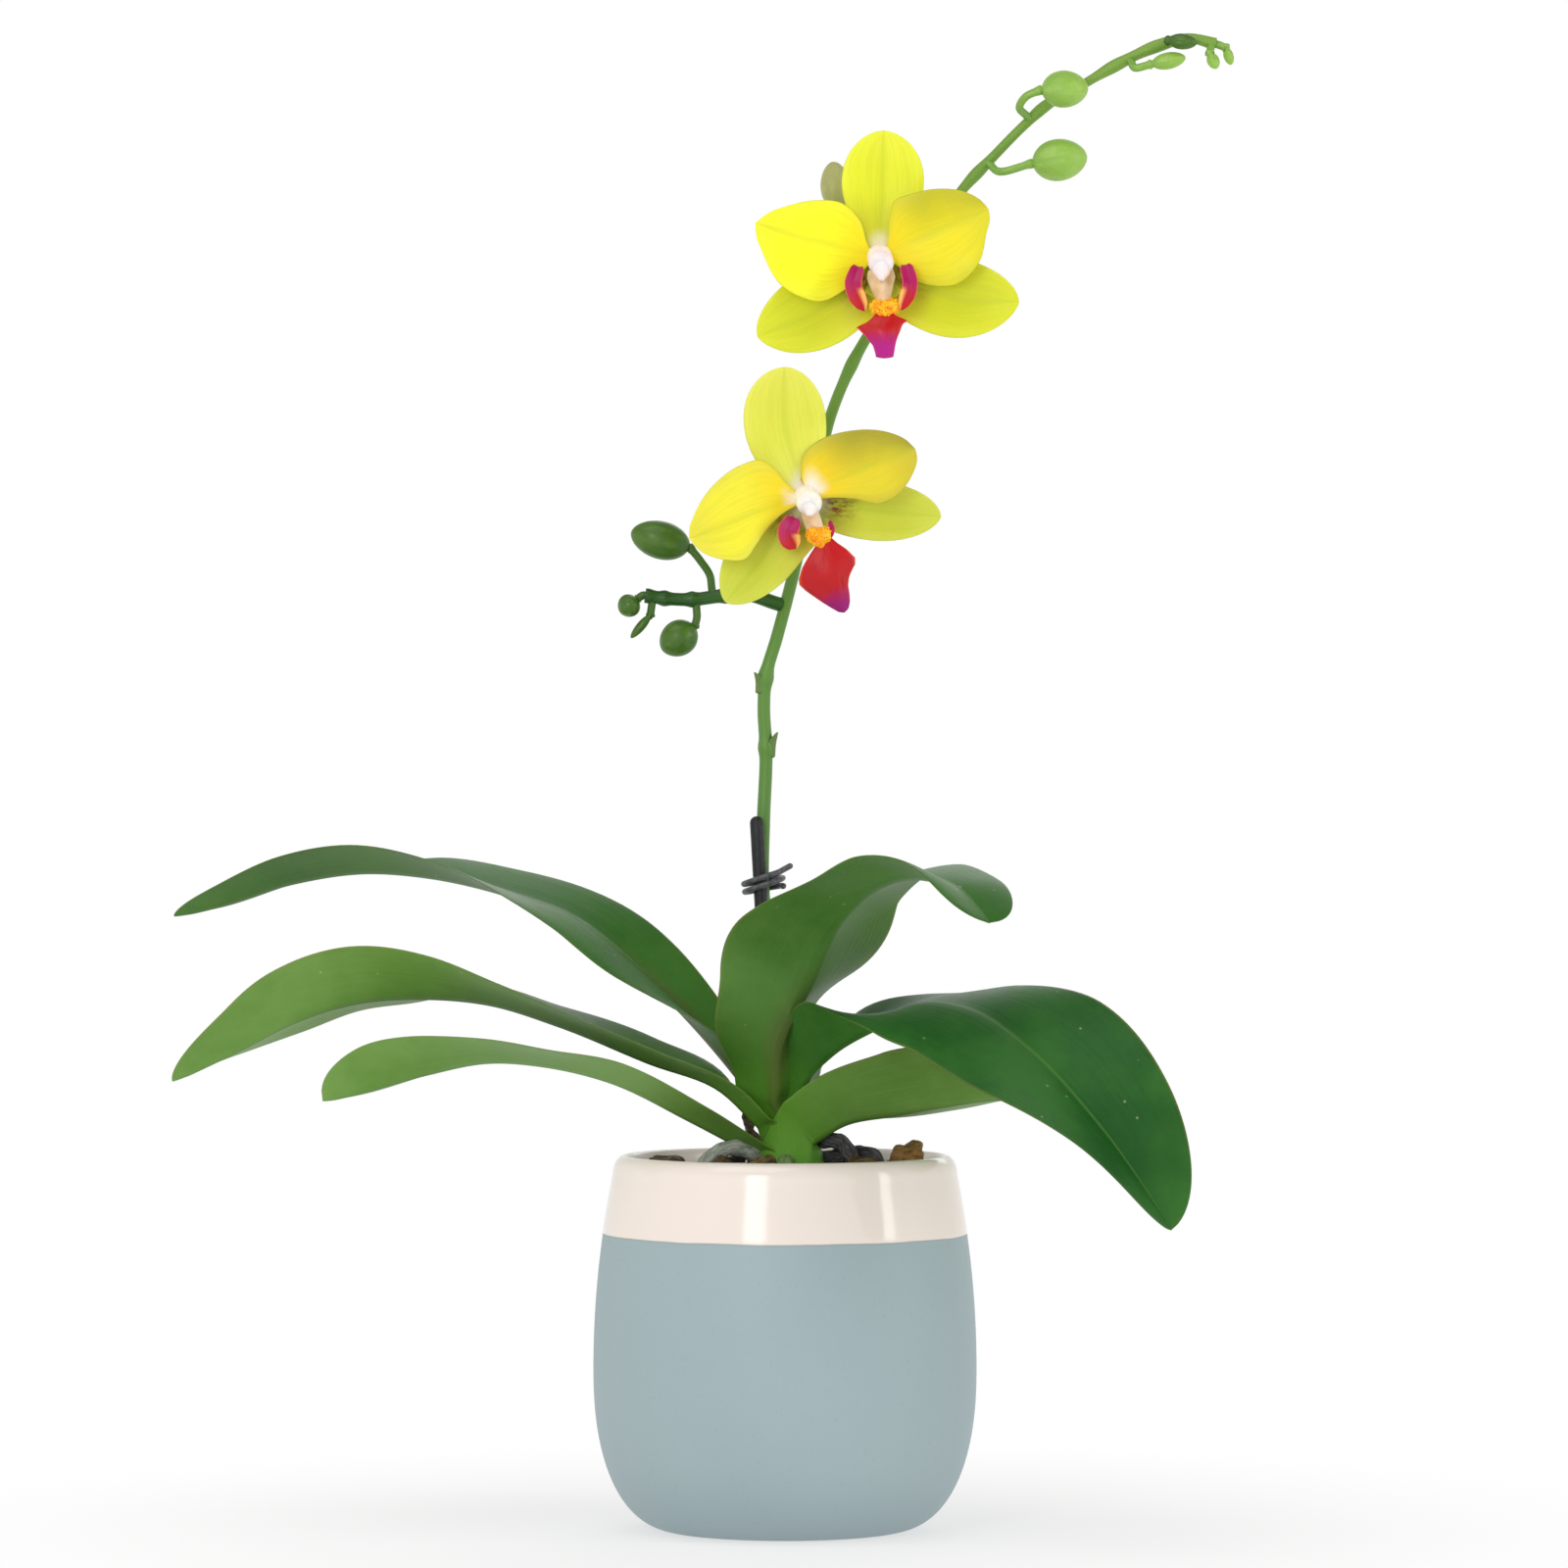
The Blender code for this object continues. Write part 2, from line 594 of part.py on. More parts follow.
# a sepal or petal: its base, middle and tip from the flower's centre, its half-width, then its
# base width, the place where it is widest and how round its tip is
FLOWERS = {
    "upper_flower": {
        "centre": (21.9, -29.6, 215.8), "turn": 0, "nod": 0,
        "dorsal_sepal": ((0.1, 1), (0.8, 15), (1.1, 29.4), 9.8, (0.16, 0.6, 0.5)),
        "left_petal": ((-1, 0.35), (-13.5, 1.4), (-29, 7.8), 12, (0.16, 0.5, 0.8)),
        "right_petal": ((1, 0.6), (13, 4.6), (26, 6.6), 11.9, (0.36, 0.5, 0.5)),
        "left_sepal": ((-1, -0.8), (-14.5, -12.4), (-28.3, -18.6), 9.6, (0.16, 0.52, 0.62)),
        "right_sepal": ((1, -0.6), (17, -9.4), (32.6, -10.5), 9.8, (0.16, 0.52, 0.62)),
        "head": (0.4, -3.8), "callus": (1.3, -12), "left_lobe": ((-5.8, -2.2), (-7, -7)),
        "right_lobe": ((5.8, -1.8), (7.4, -6.6)),
        "tongue": ((1.1, -13.4), (0.9, -18), (0.9, -24)), "tongue_width": 5.8,
    },
    "lower_flower": {
        "centre": (4.8, -29.6, 159.7), "turn": 14, "nod": 4,
        "dorsal_sepal": ((-0.2, 1), (-4.6, 16), (-5, 30.3), 9.8, (0.16, 0.6, 0.5)),
        "left_petal": ((-1, 0.2), (-12, -1.9), (-26.8, -10), 10.7, (0.16, 0.55, 0.6)),
        "right_petal": ((1, 1.4), (12, 8), (26.4, 8.2), 8.8, (0.38, 0.55, 0.5)),
        "left_sepal": ((-0.7, -1), (-9, -12.4), (-18.6, -24.4), 8, (0.16, 0.52, 0.62)),
        "right_sepal": ((1, -0.3), (17, -2.9), (31.7, -4), 7.2, (0.16, 0.52, 0.62)),
        "head": (0.9, -3.3), "callus": (2.7, -8.6), "left_lobe": ((-3.8, -4.6), (-5, -8)),
        "right_lobe": ((5.8, -4.2), (6.6, -6.8)),
        "tongue": ((4.2, -9.8), (5.6, -17), (9, -27)), "tongue_width": 6.8,
    },
}
SEPAL_OUT = (-1.1, -2.2, -2.6)      # how far a sepal's base, middle and tip stand out, in mm
PETAL_OUT = (0.7, 2, 1.2)
COLUMN_BACK = -1.9


def flower_place(flower, u, v, n):
    """A place in a flower, which leans out as a whole by its turn and its nod."""
    lean = -math.tan(math.radians(flower["turn"])) * u + math.tan(math.radians(flower["nod"])) * v
    x, y, z = flower["centre"]
    return aloft(x + u, y - n - lean, z + v)


def tepal(flower, name, key, out, material):
    """A sepal or petal, from beside the column to its tip."""
    side, middle, tip, half_width, shape = flower[key]
    reach = (COLUMN_RADIUS + CLEARANCE) / MM / math.hypot(*side)
    base = (side[0] * reach, side[1] * reach)
    rows = [
        (*flower_place(flower, *place, n), rise, rise)
        for place, n, rise in zip((base, middle, tip), out, (6, 8, 10))
    ]
    return blade(
        name, rows, half_width * MM, shape, TEPAL_THICKNESS, material,
        rows=9, half_cells=2, arch=0.06, face=(0, -1, 0)
    )


def tongue_width(at, shoulder, neck, tip):
    """Half-width of the lip's middle lobe: a narrow neck, wide shoulders, then a taper."""
    if at < shoulder:
        return neck + (1 - neck) * (at / shoulder) ** 1.5
    return (1 - (at - shoulder) / (1 - shoulder)) ** tip * (1 - 0.25 * (at - shoulder))


def side_lobe(name, flower, key):
    u, v = flower["callus"]
    top, outermost = flower[key]
    foot = (u + math.copysign(1.4, top[0]), v - 0.6)
    rows = [
        (*flower_place(flower, *place, n), rise, rise)
        for place, n, rise in zip((top, outermost, foot), (3.5, 6, 6), (8, 12, 6))
    ]
    return make_cutter(blade(
        name, rows, 2.1 * MM, (0.55, 0.45, 0.5), 0.9 * MM, None, rows=7, half_cells=1,
        arch=0.2, face=(0, -1, 0)
    ))


def lip(name, flower):
    """The lip: a claw under the column, a warty callus, two raised side lobes and a tongue."""
    red = finish("lip_red", (0.6, 0.0, 0.03), 0.4)
    u, v = flower["callus"]
    body = ellipsoid(name, flower_place(flower, u, v, 6), (3 * MM, 3 * MM, 2.6 * MM), red)
    claw_top = -(COLUMN_RADIUS + CLEARANCE) / MM - 0.9
    claw_bottom = v - 2
    claw = make_cutter(ellipsoid(
        f"{name}_claw", flower_place(flower, u * 0.5, (claw_top + claw_bottom) / 2, 2.5),
        (1.8 * MM, 1.7 * MM, (claw_top - claw_bottom) / 2 * MM), None, 10, 6
    ))
    rows = [
        (*flower_place(flower, *place, n), rise, rise)
        for place, n, rise in zip(flower["tongue"], (6.5, 8.5, 7), (5, -18, -10))
    ]
    tongue = make_cutter(blade(
        f"{name}_tongue", rows, flower["tongue_width"] * MM, (0.25, 0.3, 0.75), 1.1 * MM, None,
        rows=8, half_cells=2, face=(0, -1, 0), width_rule=tongue_width
    ))
    left = side_lobe(f"{name}_left_lobe", flower, "left_lobe")
    right = side_lobe(f"{name}_right_lobe", flower, "right_lobe")
    for other in (claw, tongue, left, right):
        boolean(body, other, "UNION")
    return body


def column(name, flower):
    """The flower's middle: a short neck that swells to a hooded head."""
    u, v = flower["head"]
    stops = (
        (0, 0, COLUMN_BACK, 1), (0, 0, 1, 1), (u * 0.3, v * 0.2 + 0.3, 3.2, 1.15),
        (u * 0.7, v * 0.55, 5.4, 1.4), (u, v, 7, 1.45), (u, v * 1.35, 8, 1.1), (u, v * 1.5, 8.4, 0.4),
    )
    places = [flower_place(flower, *stop[:3]) for stop in stops]
    radii = [COLUMN_RADIUS * stop[3] for stop in stops]
    return tube(name, places, radii, finish("column_white", (0.9, 0.8, 0.78), 0.5))


def flower_stalk(name, flower, spike):
    end = flower_place(flower, 0, 0, COLUMN_BACK - CLEARANCE / MM)
    before = flower_place(flower, 0, 0, COLUMN_BACK - 4)
    route = sprout(spike, flower_place(flower, 0, -1, COLUMN_BACK - 8)) + [before, end]
    shares = [1.2 + 0.8 * f for f in evenly(8)]
    green = finish("stalk_green", (0.35, 0.5, 0.12), 0.5)
    places = [Vector(place) for place in smooth(route, evenly(8))]
    return tube(name, places, [PEDICEL_RADIUS * share for share in shares], green)


def make_flower(name, spike):
    flower = FLOWERS[name]
    yellow = finish("petal_yellow", (0.95, 0.85, 0.05), 0.5)
    lime = finish("sepal_lime", (0.7, 0.75, 0.05), 0.5)
    for key in ("dorsal_sepal", "left_sepal", "right_sepal"):
        tepal(flower, f"{name}_{key}", key, SEPAL_OUT, lime)
    for key in ("left_petal", "right_petal"):
        tepal(flower, f"{name}_{key}", key, PETAL_OUT, yellow)
    lip(f"{name}_lip", flower)
    column(f"{name}_column", flower)
    flower_stalk(f"{name}_stalk", flower, spike)


# ---------------------------------------------------------------- roots and dry sheath

# roots: angle round the crown in degrees, distance out from the crown's side, height
ROOTS = {
    "root_front_left": ((-124, 1.6, 4.6), (-123, 5.5, 3.8), (-122, 9.6, 2), (-119, 14.2, -3)),
    "root_front": ((-93, 1.7, 4.5), (-94, 4.9, 4), (-88, 9.3, -3)),
    "root_right": ((22, 2.6, 4), (12, 6.7, 6), (4, 10.8, 6), (-1, 15.2, -3)),
    "root_dark": ((-8, 2.2, 9.6), (-11, 4.6, 8.6), (-14, 7.1, 5), (-20, 9.7, -3)),
    "root_back_right": ((50, 3, 3.6), (46, 9.1, 3.2), (42, 15.9, -3)),
    "root_left": ((-153, 4.4, 5), (-153, 8.4, 7.8), (-155, 12.3, 5.6), (-156, 16.3, -3)),
}


def root(name, route):
    """An aerial root that arches out of the crown and comes down on the medium."""
    grey = finish("root_grey", (0.35, 0.38, 0.24), 0.7)
    stops = []
    for angle, out, height in route:
        reach = CROWN_RADIUS + out * MM
        turned = math.radians(angle)
        side = Vector((CROWN_X + reach * math.cos(turned), reach * math.sin(turned), 0))
        stops.append(side + Vector((0, 0, MEDIUM_TOP + height * MM)))
    places = [Vector(place) for place in smooth(stops, evenly(8))]
    shares = [0.8, 1, 1, 0.95, 1, 1, 0.9, 0.8, 0.6]
    for place, share in zip(places, shares):
        lowest = medium_height(place.x, place.y) + CLEARANCE * 1.3 + ROOT_RADIUS * share
        place.z = max(place.z, lowest)
    return tube(name, places, [ROOT_RADIUS * share for share in shares], grey)


def dry_sheath():
    """The papery base of a leaf that has fallen, left beside the crown."""
    brown = finish("dry_sheath", (0.16, 0.12, 0.09), 0.9)
    rows = [
        (*plant(-8.4, 7.4, 0.5), 30, 30), (*plant(-8.8, 7.8, 9), 30, 30), (*plant(-9.8, 8.2, 16.5), 15, 15)
    ]
    return blade("dry_sheath", rows, 3.2 * MM, (0.8, 0.4, 0.6), 0.8 * MM, brown, rows=6, face=(1, -0.6, 0))


# ---------------------------------------------------------------- build

def main():
    pot()
    potting_medium()
    for number, chip in enumerate(CHIPS, 1):
        bark_chip(number, *chip)
    stake_rod("stake", 0, finish("stake_black", (0.02, 0.02, 0.02), 0.5))
    tie_wire()
    crown("crown", 0, finish("crown_green", (0.2, 0.42, 0.08), 0.5))
    cutter = make_cutter(crown("crown_room", CLEARANCE, None))
    for name, design in LEAVES.items():
        leaf(name, design["half_width"], design["shape"], design["stations"], cutter)
    dry_sheath()
    for name, route in ROOTS.items():
        root(name, route)
    green = finish("spike_green", (0.16, 0.36, 0.07), 0.45)
    spike_route = [aloft(*point) for point in SPIKE]
    spike = stem("flower_spike", spike_route, SPIKE_RADIUS, SPIKE_TIP_RADIUS, 60, green)
    branch_route = [aloft(*point) for point in BRANCH]
    branch_route = sprout(spike, branch_route[0]) + branch_route
    branch = stem("side_branch", branch_route, BRANCH_RADIUS, BRANCH_RADIUS * 0.9, 12, green)
    bract("spike_bract_lower", 99, (1, -0.3, 0), 6 * MM, green)
    bract("spike_bract_upper", 115, (-1, -0.4, 0), 5 * MM, green)
    bud_green = finish("bud_green", (0.25, 0.45, 0.08), 0.5)
    stems = {"spike": spike, "branch": branch}
    for name, (grows_from, route, tip, radius) in BUDS.items():
        if grows_from.endswith("_tip"):
            start = sprout_from_tip(stems[grows_from.removesuffix("_tip")])
        else:
            start = sprout(stems[grows_from], aloft(*route[0]))
        bud(name, start, route, tip, radius, bud_green)
    for name in FLOWERS:
        make_flower(name, spike)


main()
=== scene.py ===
import math
import random

import bmesh
import bpy
import numpy as np
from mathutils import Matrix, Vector, noise


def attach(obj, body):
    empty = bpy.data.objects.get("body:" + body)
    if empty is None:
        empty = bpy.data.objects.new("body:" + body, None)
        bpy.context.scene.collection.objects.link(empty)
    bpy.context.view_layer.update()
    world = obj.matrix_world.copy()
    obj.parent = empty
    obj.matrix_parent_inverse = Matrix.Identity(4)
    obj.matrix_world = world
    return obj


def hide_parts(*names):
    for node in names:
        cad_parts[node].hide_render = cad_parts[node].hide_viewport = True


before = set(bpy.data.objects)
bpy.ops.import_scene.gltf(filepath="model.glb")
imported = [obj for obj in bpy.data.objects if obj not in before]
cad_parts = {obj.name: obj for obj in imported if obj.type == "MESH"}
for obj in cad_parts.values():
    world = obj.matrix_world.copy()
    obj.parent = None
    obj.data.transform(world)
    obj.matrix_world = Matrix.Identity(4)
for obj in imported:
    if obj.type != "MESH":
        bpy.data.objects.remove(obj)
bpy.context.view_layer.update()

mm = 0.001
mediumTop = 82 * mm
spikeDepth = 13.6 * mm      # how far the flower spike stands behind the pot's middle
crownX = 1                  # millimetres the crown stands right of the pot's middle
seed = 7


# places, in millimetres: on the plant from the middle of the medium, aloft from the spike's foot
def plant(x, y, z):
    return Vector((x * mm, y * mm, z * mm + mediumTop))


def aloft(x, y, z):
    return plant(x, y, z) + Vector((0, spikeDepth, 0))


def roundCrown(angle, reach, height):
    # degrees round the crown from +X, then millimetres out from its middle and up
    turned = math.radians(angle)
    return plant(crownX + reach * math.cos(turned), reach * math.sin(turned), height)


def smoothPath(points, fractions):
    knots = np.array(points, float)
    lengths = np.linalg.norm(np.diff(knots[:, :3], axis=0), axis=1)
    stops = np.concatenate([[0], np.cumsum(lengths)]) / lengths.sum()
    slopes = np.gradient(knots, stops, axis=0)
    values = []
    for fraction in fractions:
        i = min(int(np.searchsorted(stops, fraction, side="right")) - 1, len(stops) - 2)
        width = stops[i + 1] - stops[i]
        t = (fraction - stops[i]) / width
        values.append(knots[i] * (2 * t**3 - 3 * t**2 + 1)
                      + slopes[i] * width * (t**3 - 2 * t**2 + t)
                      + knots[i + 1] * (3 * t**2 - 2 * t**3)
                      + slopes[i + 1] * width * (t**3 - t**2))
    return np.array(values)


def evenly(count):
    return np.linspace(0, 1, count + 1)


def newObject(name, mesh, material=None):
    obj = bpy.data.objects.new(name, mesh)
    bpy.context.scene.collection.objects.link(obj)
    if material:
        mesh.materials.append(material)
    return obj


def claim(obj, slot, *nodes):
    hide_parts(*nodes)
    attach(obj, "root")


def camel(node):
    first, *others = node.split("_")
    return first + "".join(word.title() for word in others)


def nodeCopy(name):
    # the CAD node's own shape, its loose triangles merged
    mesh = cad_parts[name].data.copy()
    mesh.materials.clear()
    bm = bmesh.new()
    bm.from_mesh(mesh)
    bmesh.ops.remove_doubles(bm, verts=bm.verts, dist=0.002 * mm)
    bmesh.ops.recalc_face_normals(bm, faces=bm.faces)
    bm.to_mesh(mesh)
    bm.free()
    return mesh


class Flow:
    # one output of a node. Arithmetic on it adds Math nodes to its tree
    def __init__(self, tree, node, which=0):
        self.tree, self.node, self.socket = tree, node, node.outputs[which]

    def __getitem__(self, which):
        return Flow(self.tree, self.node, which)

    def calc(self, operation, *others):
        return calculate(self.tree, operation, self, *others)

    def __add__(self, other):
        return self.calc("ADD", other)

    def __sub__(self, other):
        return self.calc("SUBTRACT", other)

    def __rsub__(self, other):
        return calculate(self.tree, "SUBTRACT", other, self)

    def __mul__(self, other):
        return self.calc("MULTIPLY", other)

    def __abs__(self):
        return self.calc("ABSOLUTE")


def add(tree, kind, inputs=None, **settings):
    # a node in a material or in Geometry Nodes: its inputs are values or other nodes' outputs
    made = tree.nodes.new(kind)
    for key, value in settings.items():
        setattr(made, key, value)
    for key, value in (inputs or {}).items():
        plug(tree, value, made.inputs[key])
    return Flow(tree, made)


def plug(tree, value, target):
    if isinstance(value, Flow):
        value = value.socket
    if isinstance(value, bpy.types.NodeSocket):
        tree.links.new(value, target)
    else:
        target.default_value = value


def calculate(tree, operation, *values):
    return add(tree, "ShaderNodeMath", dict(enumerate(values)), operation=operation)


def rgb(red, green, blue):
    # a colour from its screen values
    return tuple(((c / 255 + 0.055) / 1.055) ** 2.4 if c > 10 else c / 255 / 12.92
                 for c in (red, green, blue)) + (1,)


class Finish:
    def __init__(self, name, **fixed):
        self.material = bpy.data.materials.new(name)
        self.material.use_nodes = True
        self.tree = self.material.node_tree
        self.shader = self.tree.nodes["Principled BSDF"]
        for key, value in fixed.items():
            self.shader.inputs[key.replace("_", " ")].default_value = value

    def add(self, kind, inputs=None, **settings):
        return add(self.tree, kind, inputs, **settings)

    def place(self):
        return self.add("ShaderNodeTexCoord")["Object"]

    def across(self):
        # across a blade, along it, and out from its midrib, each 0 to 1
        u, v, _ = self.add("ShaderNodeSeparateXYZ", {0: self.add("ShaderNodeTexCoord")["UV"]})
        return u, v, abs(u * 2.0 - 1.0)

    def value(self, name):
        return self.add("ShaderNodeAttribute", attribute_name=name)["Fac"]

    def within(self, value, low, high, first=0.0, last=1.0):
        # first at low, last at high, smoothly between
        return self.add("ShaderNodeMapRange", {
            "Value": value, "From Min": low, "From Max": high, "To Min": first, "To Max": last},
            interpolation_type="SMOOTHSTEP")

    def fade(self, value, low, high):
        return self.within(value, low, high, 1.0, 0.0)

    def mix(self, factor, a, b):
        return self.add("ShaderNodeMix", {0: factor, 6: a, 7: b}, data_type="RGBA")[2]

    def ramp(self, value, *stops):
        made = self.add("ShaderNodeValToRGB", {0: value})
        elements = made.node.color_ramp.elements
        while len(elements) < len(stops):
            elements.new(0.5)
        for element, (position, color) in zip(elements, stops):
            element.position = position
            element.color = color
        return made

    def stretched(self, vector, scale):
        return self.add("ShaderNodeMapping", {"Vector": vector, "Scale": scale})

    def noise(self, vector, scale, detail=3.0, roughness=0.55):
        return self.add("ShaderNodeTexNoise", {
            "Vector": vector, "Scale": scale, "Detail": detail, "Roughness": roughness})

    def streaks(self, across, along, detail=3.0, roughness=0.55):
        # noise over a blade or a stem, each way already multiplied by how often it changes
        spot = self.add("ShaderNodeCombineXYZ", {0: across, 1: along, 2: 0.0})
        return self.noise(spot, 1.0, detail, roughness)

    def cells(self, vector, scale):
        return self.add("ShaderNodeTexVoronoi", {"Vector": vector, "Scale": scale})["Distance"]

    def wear(self, color, roughness, height, strength, distance):
        # ends the tree: colour, roughness and bump
        bump = self.add("ShaderNodeBump", {"Strength": strength, "Distance": distance, "Height": height})
        for key, value in (("Base Color", color), ("Roughness", roughness), ("Normal", bump)):
            plug(self.tree, value, self.shader.inputs[key])
        return self.material


def newTree(name, **sizes):
    # a Geometry Nodes tree with a geometry and a material input, and a named input for each size
    tree = bpy.data.node_groups.new(name, "GeometryNodeTree")
    face = tree.interface
    face.new_socket("Geometry", in_out="INPUT", socket_type="NodeSocketGeometry")
    face.new_socket("Geometry", in_out="OUTPUT", socket_type="NodeSocketGeometry")
    for key, value in sizes.items():
        kind = "NodeSocketInt" if isinstance(value, int) else "NodeSocketFloat"
        face.new_socket(key, in_out="INPUT", socket_type=kind).default_value = value
    face.new_socket("Material", in_out="INPUT", socket_type="NodeSocketMaterial")
    return tree, tree.nodes.new("NodeGroupInput").outputs, tree.nodes.new("NodeGroupOutput")


def endTree(tree, geometry, source, end):
    shaded = add(tree, "GeometryNodeSetShadeSmooth", {"Geometry": geometry, "Shade Smooth": True})
    real = add(tree, "GeometryNodeRealizeInstances", {"Geometry": shaded})
    painted = add(tree, "GeometryNodeSetMaterial", {"Geometry": real, "Material": source["Material"]})
    plug(tree, painted, end.inputs[0])
    return tree


def grow(name, mesh, tree, material, **sizes):
    # runs a tree on a mesh, and keeps the result as a plain mesh
    obj = newObject(name, mesh)
    modifier = obj.modifiers.new("grow", "NODES")
    modifier.node_group = tree
    for item in tree.interface.items_tree:
        if item.in_out == "INPUT" and item.name == "Material":
            modifier[item.identifier] = material
        elif item.in_out == "INPUT" and item.name in sizes:
            modifier[item.identifier] = sizes[item.name]
    made = bpy.data.meshes.new_from_object(obj.evaluated_get(bpy.context.evaluated_depsgraph_get()))
    obj.modifiers.clear()
    obj.data = made
    if not made.materials:
        made.materials.append(material)
    return obj


print("stage: floor, lights and camera")


studio = {
    "cameraAway": 1.7, "cameraHeight": 0.1751, "lens": 166.16, "sensor": 36, "shiftX": -1 / 1600,
    "aim": (0, 0, 0.12), "floorSize": 60,
    # each light: azimuth from the camera, height, distance, width, height of the panel, power
    "lights": {
        "window left": (-19, 0.47, 1.25, 0.3, 0.56, 3.2), "window right": (67, 0.47, 1.25, 0.3, 0.56, 2.4),
        "overhead": (-35, 1.5, 0.7, 1.1, 1.1, 6.5), "back fill": (165, 0.9, 1.3, 0.9, 0.9, 3.0)},
}


def lightPanel(name, turn, height, away, wide, tall, power):
    light = bpy.data.lights.new(name, "AREA")
    light.shape = "RECTANGLE"
    light.size, light.size_y, light.energy = wide, tall, power
    lamp = newObject(name, light)
    angle = math.radians(turn)
    lamp.location = (away * math.sin(angle), -away * math.cos(angle), height)
    lamp.rotation_euler = (Vector(studio["aim"]) - lamp.location).to_track_quat("-Z", "Y").to_euler()
    lamp.visible_camera = False


def buildStage():
    world = bpy.data.worlds.new("studio")
    bpy.context.scene.world = world
    world.use_nodes = True
    tree = world.node_tree
    background = tree.nodes["Background"]
    height = add(tree, "ShaderNodeSeparateXYZ", {0: add(tree, "ShaderNodeTexCoord")["Generated"]})[2]
    level = add(tree, "ShaderNodeMapRange", {
        "Value": abs(height), "From Min": 0.22, "From Max": 0.6, "To Min": 1.0, "To Max": 0.42},
        interpolation_type="SMOOTHSTEP")
    plug(tree, level, background.inputs["Strength"])
    background.inputs["Color"].default_value = (1, 1, 1, 1)

    bpy.ops.mesh.primitive_plane_add(size=studio["floorSize"])
    floor = bpy.context.object
    floor.name = "floor"
    white = Finish("floorWhite")
    place = white.place()
    away = white.add("ShaderNodeVectorMath", {0: place}, operation="LENGTH")["Value"]
    grain = white.noise(place, 40)
    white.wear(white.mix(grain, rgb(244, 243, 241), rgb(240, 240, 240)), 0.9, grain, 0.05, 0.0002)
    # the floor glows plain white away from the pot, so only its contact shade is seen
    glow = white.add("ShaderNodeEmission", {"Color": (1, 1, 1, 1), "Strength": 1.0})
    shade = white.add("ShaderNodeMixShader", {
        0: white.within(away, 0.05, 0.24, 0.6, 1.0), 1: white.shader.outputs[0], 2: glow})
    plug(white.tree, shade, white.tree.nodes["Material Output"].inputs[0])
    floor.data.materials.append(white.material)

    for name, values in studio["lights"].items():
        lightPanel(name, *values)

    camera = newObject("camera", bpy.data.cameras.new("camera"))
    camera.location = (0, -studio["cameraAway"], studio["cameraHeight"])
    camera.rotation_euler = (math.radians(90), 0, 0)
    camera.data.lens = studio["lens"]
    camera.data.sensor_width = studio["sensor"]
    camera.data.shift_x = studio["shiftX"]
    bpy.context.scene.camera = camera
    bpy.context.scene.view_settings.view_transform = "Standard"


buildStage()

print("stage: trees")


def makeStemTree():
    # a round stem along a chain of points, each with its own thickness
    tree, source, end = newTree("stem", Sides=16, Seams=3, SeamDepth=0.0)
    along = add(tree, "GeometryNodeSplineParameter")["Factor"]

    def marked(geometry, name):
        return add(tree, "GeometryNodeStoreNamedAttribute", {
            "Geometry": geometry, "Name": name, "Value": along}, data_type="FLOAT", domain="POINT")

    ridge = abs((along * source["Seams"] * math.pi).calc("SINE")).calc("POWER", 0.35)
    moved = add(tree, "ShaderNodeVectorMath", {
        0: add(tree, "GeometryNodeInputPosition"), "Scale": 1.0 - (1.0 - ridge) * source["SeamDepth"]},
        operation="SCALE")
    ring = add(tree, "GeometryNodeCurvePrimitiveCircle", {"Resolution": source["Sides"], "Radius": 1.0})
    ring = add(tree, "GeometryNodeSetPosition", {"Geometry": ring, "Position": moved})
    curve = add(tree, "GeometryNodeMeshToCurve", {"Mesh": source["Geometry"]})
    tube = add(tree, "GeometryNodeCurveToMesh", {
        "Curve": marked(curve, "along"), "Profile Curve": marked(ring, "around"), "Fill Caps": True,
        "Scale": add(tree, "GeometryNodeInputNamedAttribute", {"Name": "thickness"}, data_type="FLOAT")})
    return endTree(tree, tube, source, end)


def makeTurnTree():
    # a turned shape from a profile of radius and height
    tree, source, end = newTree("turn", Segments=160, Rings=150)
    profile = add(tree, "GeometryNodeMeshToCurve", {"Mesh": source["Geometry"]})
    grid = add(tree, "GeometryNodeMeshGrid", {
        "Size X": 1.0, "Size Y": 1.0, "Vertices X": source["Segments"], "Vertices Y": source["Rings"]})
    x, y, _ = add(tree, "ShaderNodeSeparateXYZ", {0: add(tree, "GeometryNodeInputPosition")})
    spot = add(tree, "GeometryNodeSampleCurve", {"Curves": profile, "Factor": y + 0.5}, mode="FACTOR")
    radius, _, height = add(tree, "ShaderNodeSeparateXYZ", {0: spot["Position"]})
    angle = x * math.tau
    target = add(tree, "ShaderNodeCombineXYZ", {
        0: angle.calc("COSINE") * radius, 1: angle.calc("SINE") * radius, 2: height})
    turned = add(tree, "GeometryNodeSetPosition", {"Geometry": grid, "Position": target})
    closed = add(tree, "GeometryNodeMergeByDistance", {"Geometry": turned, "Distance": 0.02 * mm})
    return endTree(tree, closed, source, end)


def scatter(tree, source, shape, smallest, largest, sizeSeed, where=None, laid=None):
    # copies of a shape over the source's faces, each of its own size
    points = add(tree, "GeometryNodeDistributePointsOnFaces", {
        "Mesh": source["Geometry"], "Density": source["Density"], "Seed": source["Seed"], **(where or {})})
    size = add(tree, "FunctionNodeRandomValue", {2: smallest, 3: largest, "Seed": sizeSeed},
               data_type="FLOAT")[1]
    return add(tree, "GeometryNodeInstanceOnPoints", {
        "Points": points, "Instance": shape, "Scale": size * source["Size"], **(laid or {})})


def withSource(tree, source, geometry):
    both = tree.nodes.new("GeometryNodeJoinGeometry")
    plug(tree, source["Geometry"], both.inputs[0])
    plug(tree, geometry, both.inputs[0])
    return both.outputs[0]


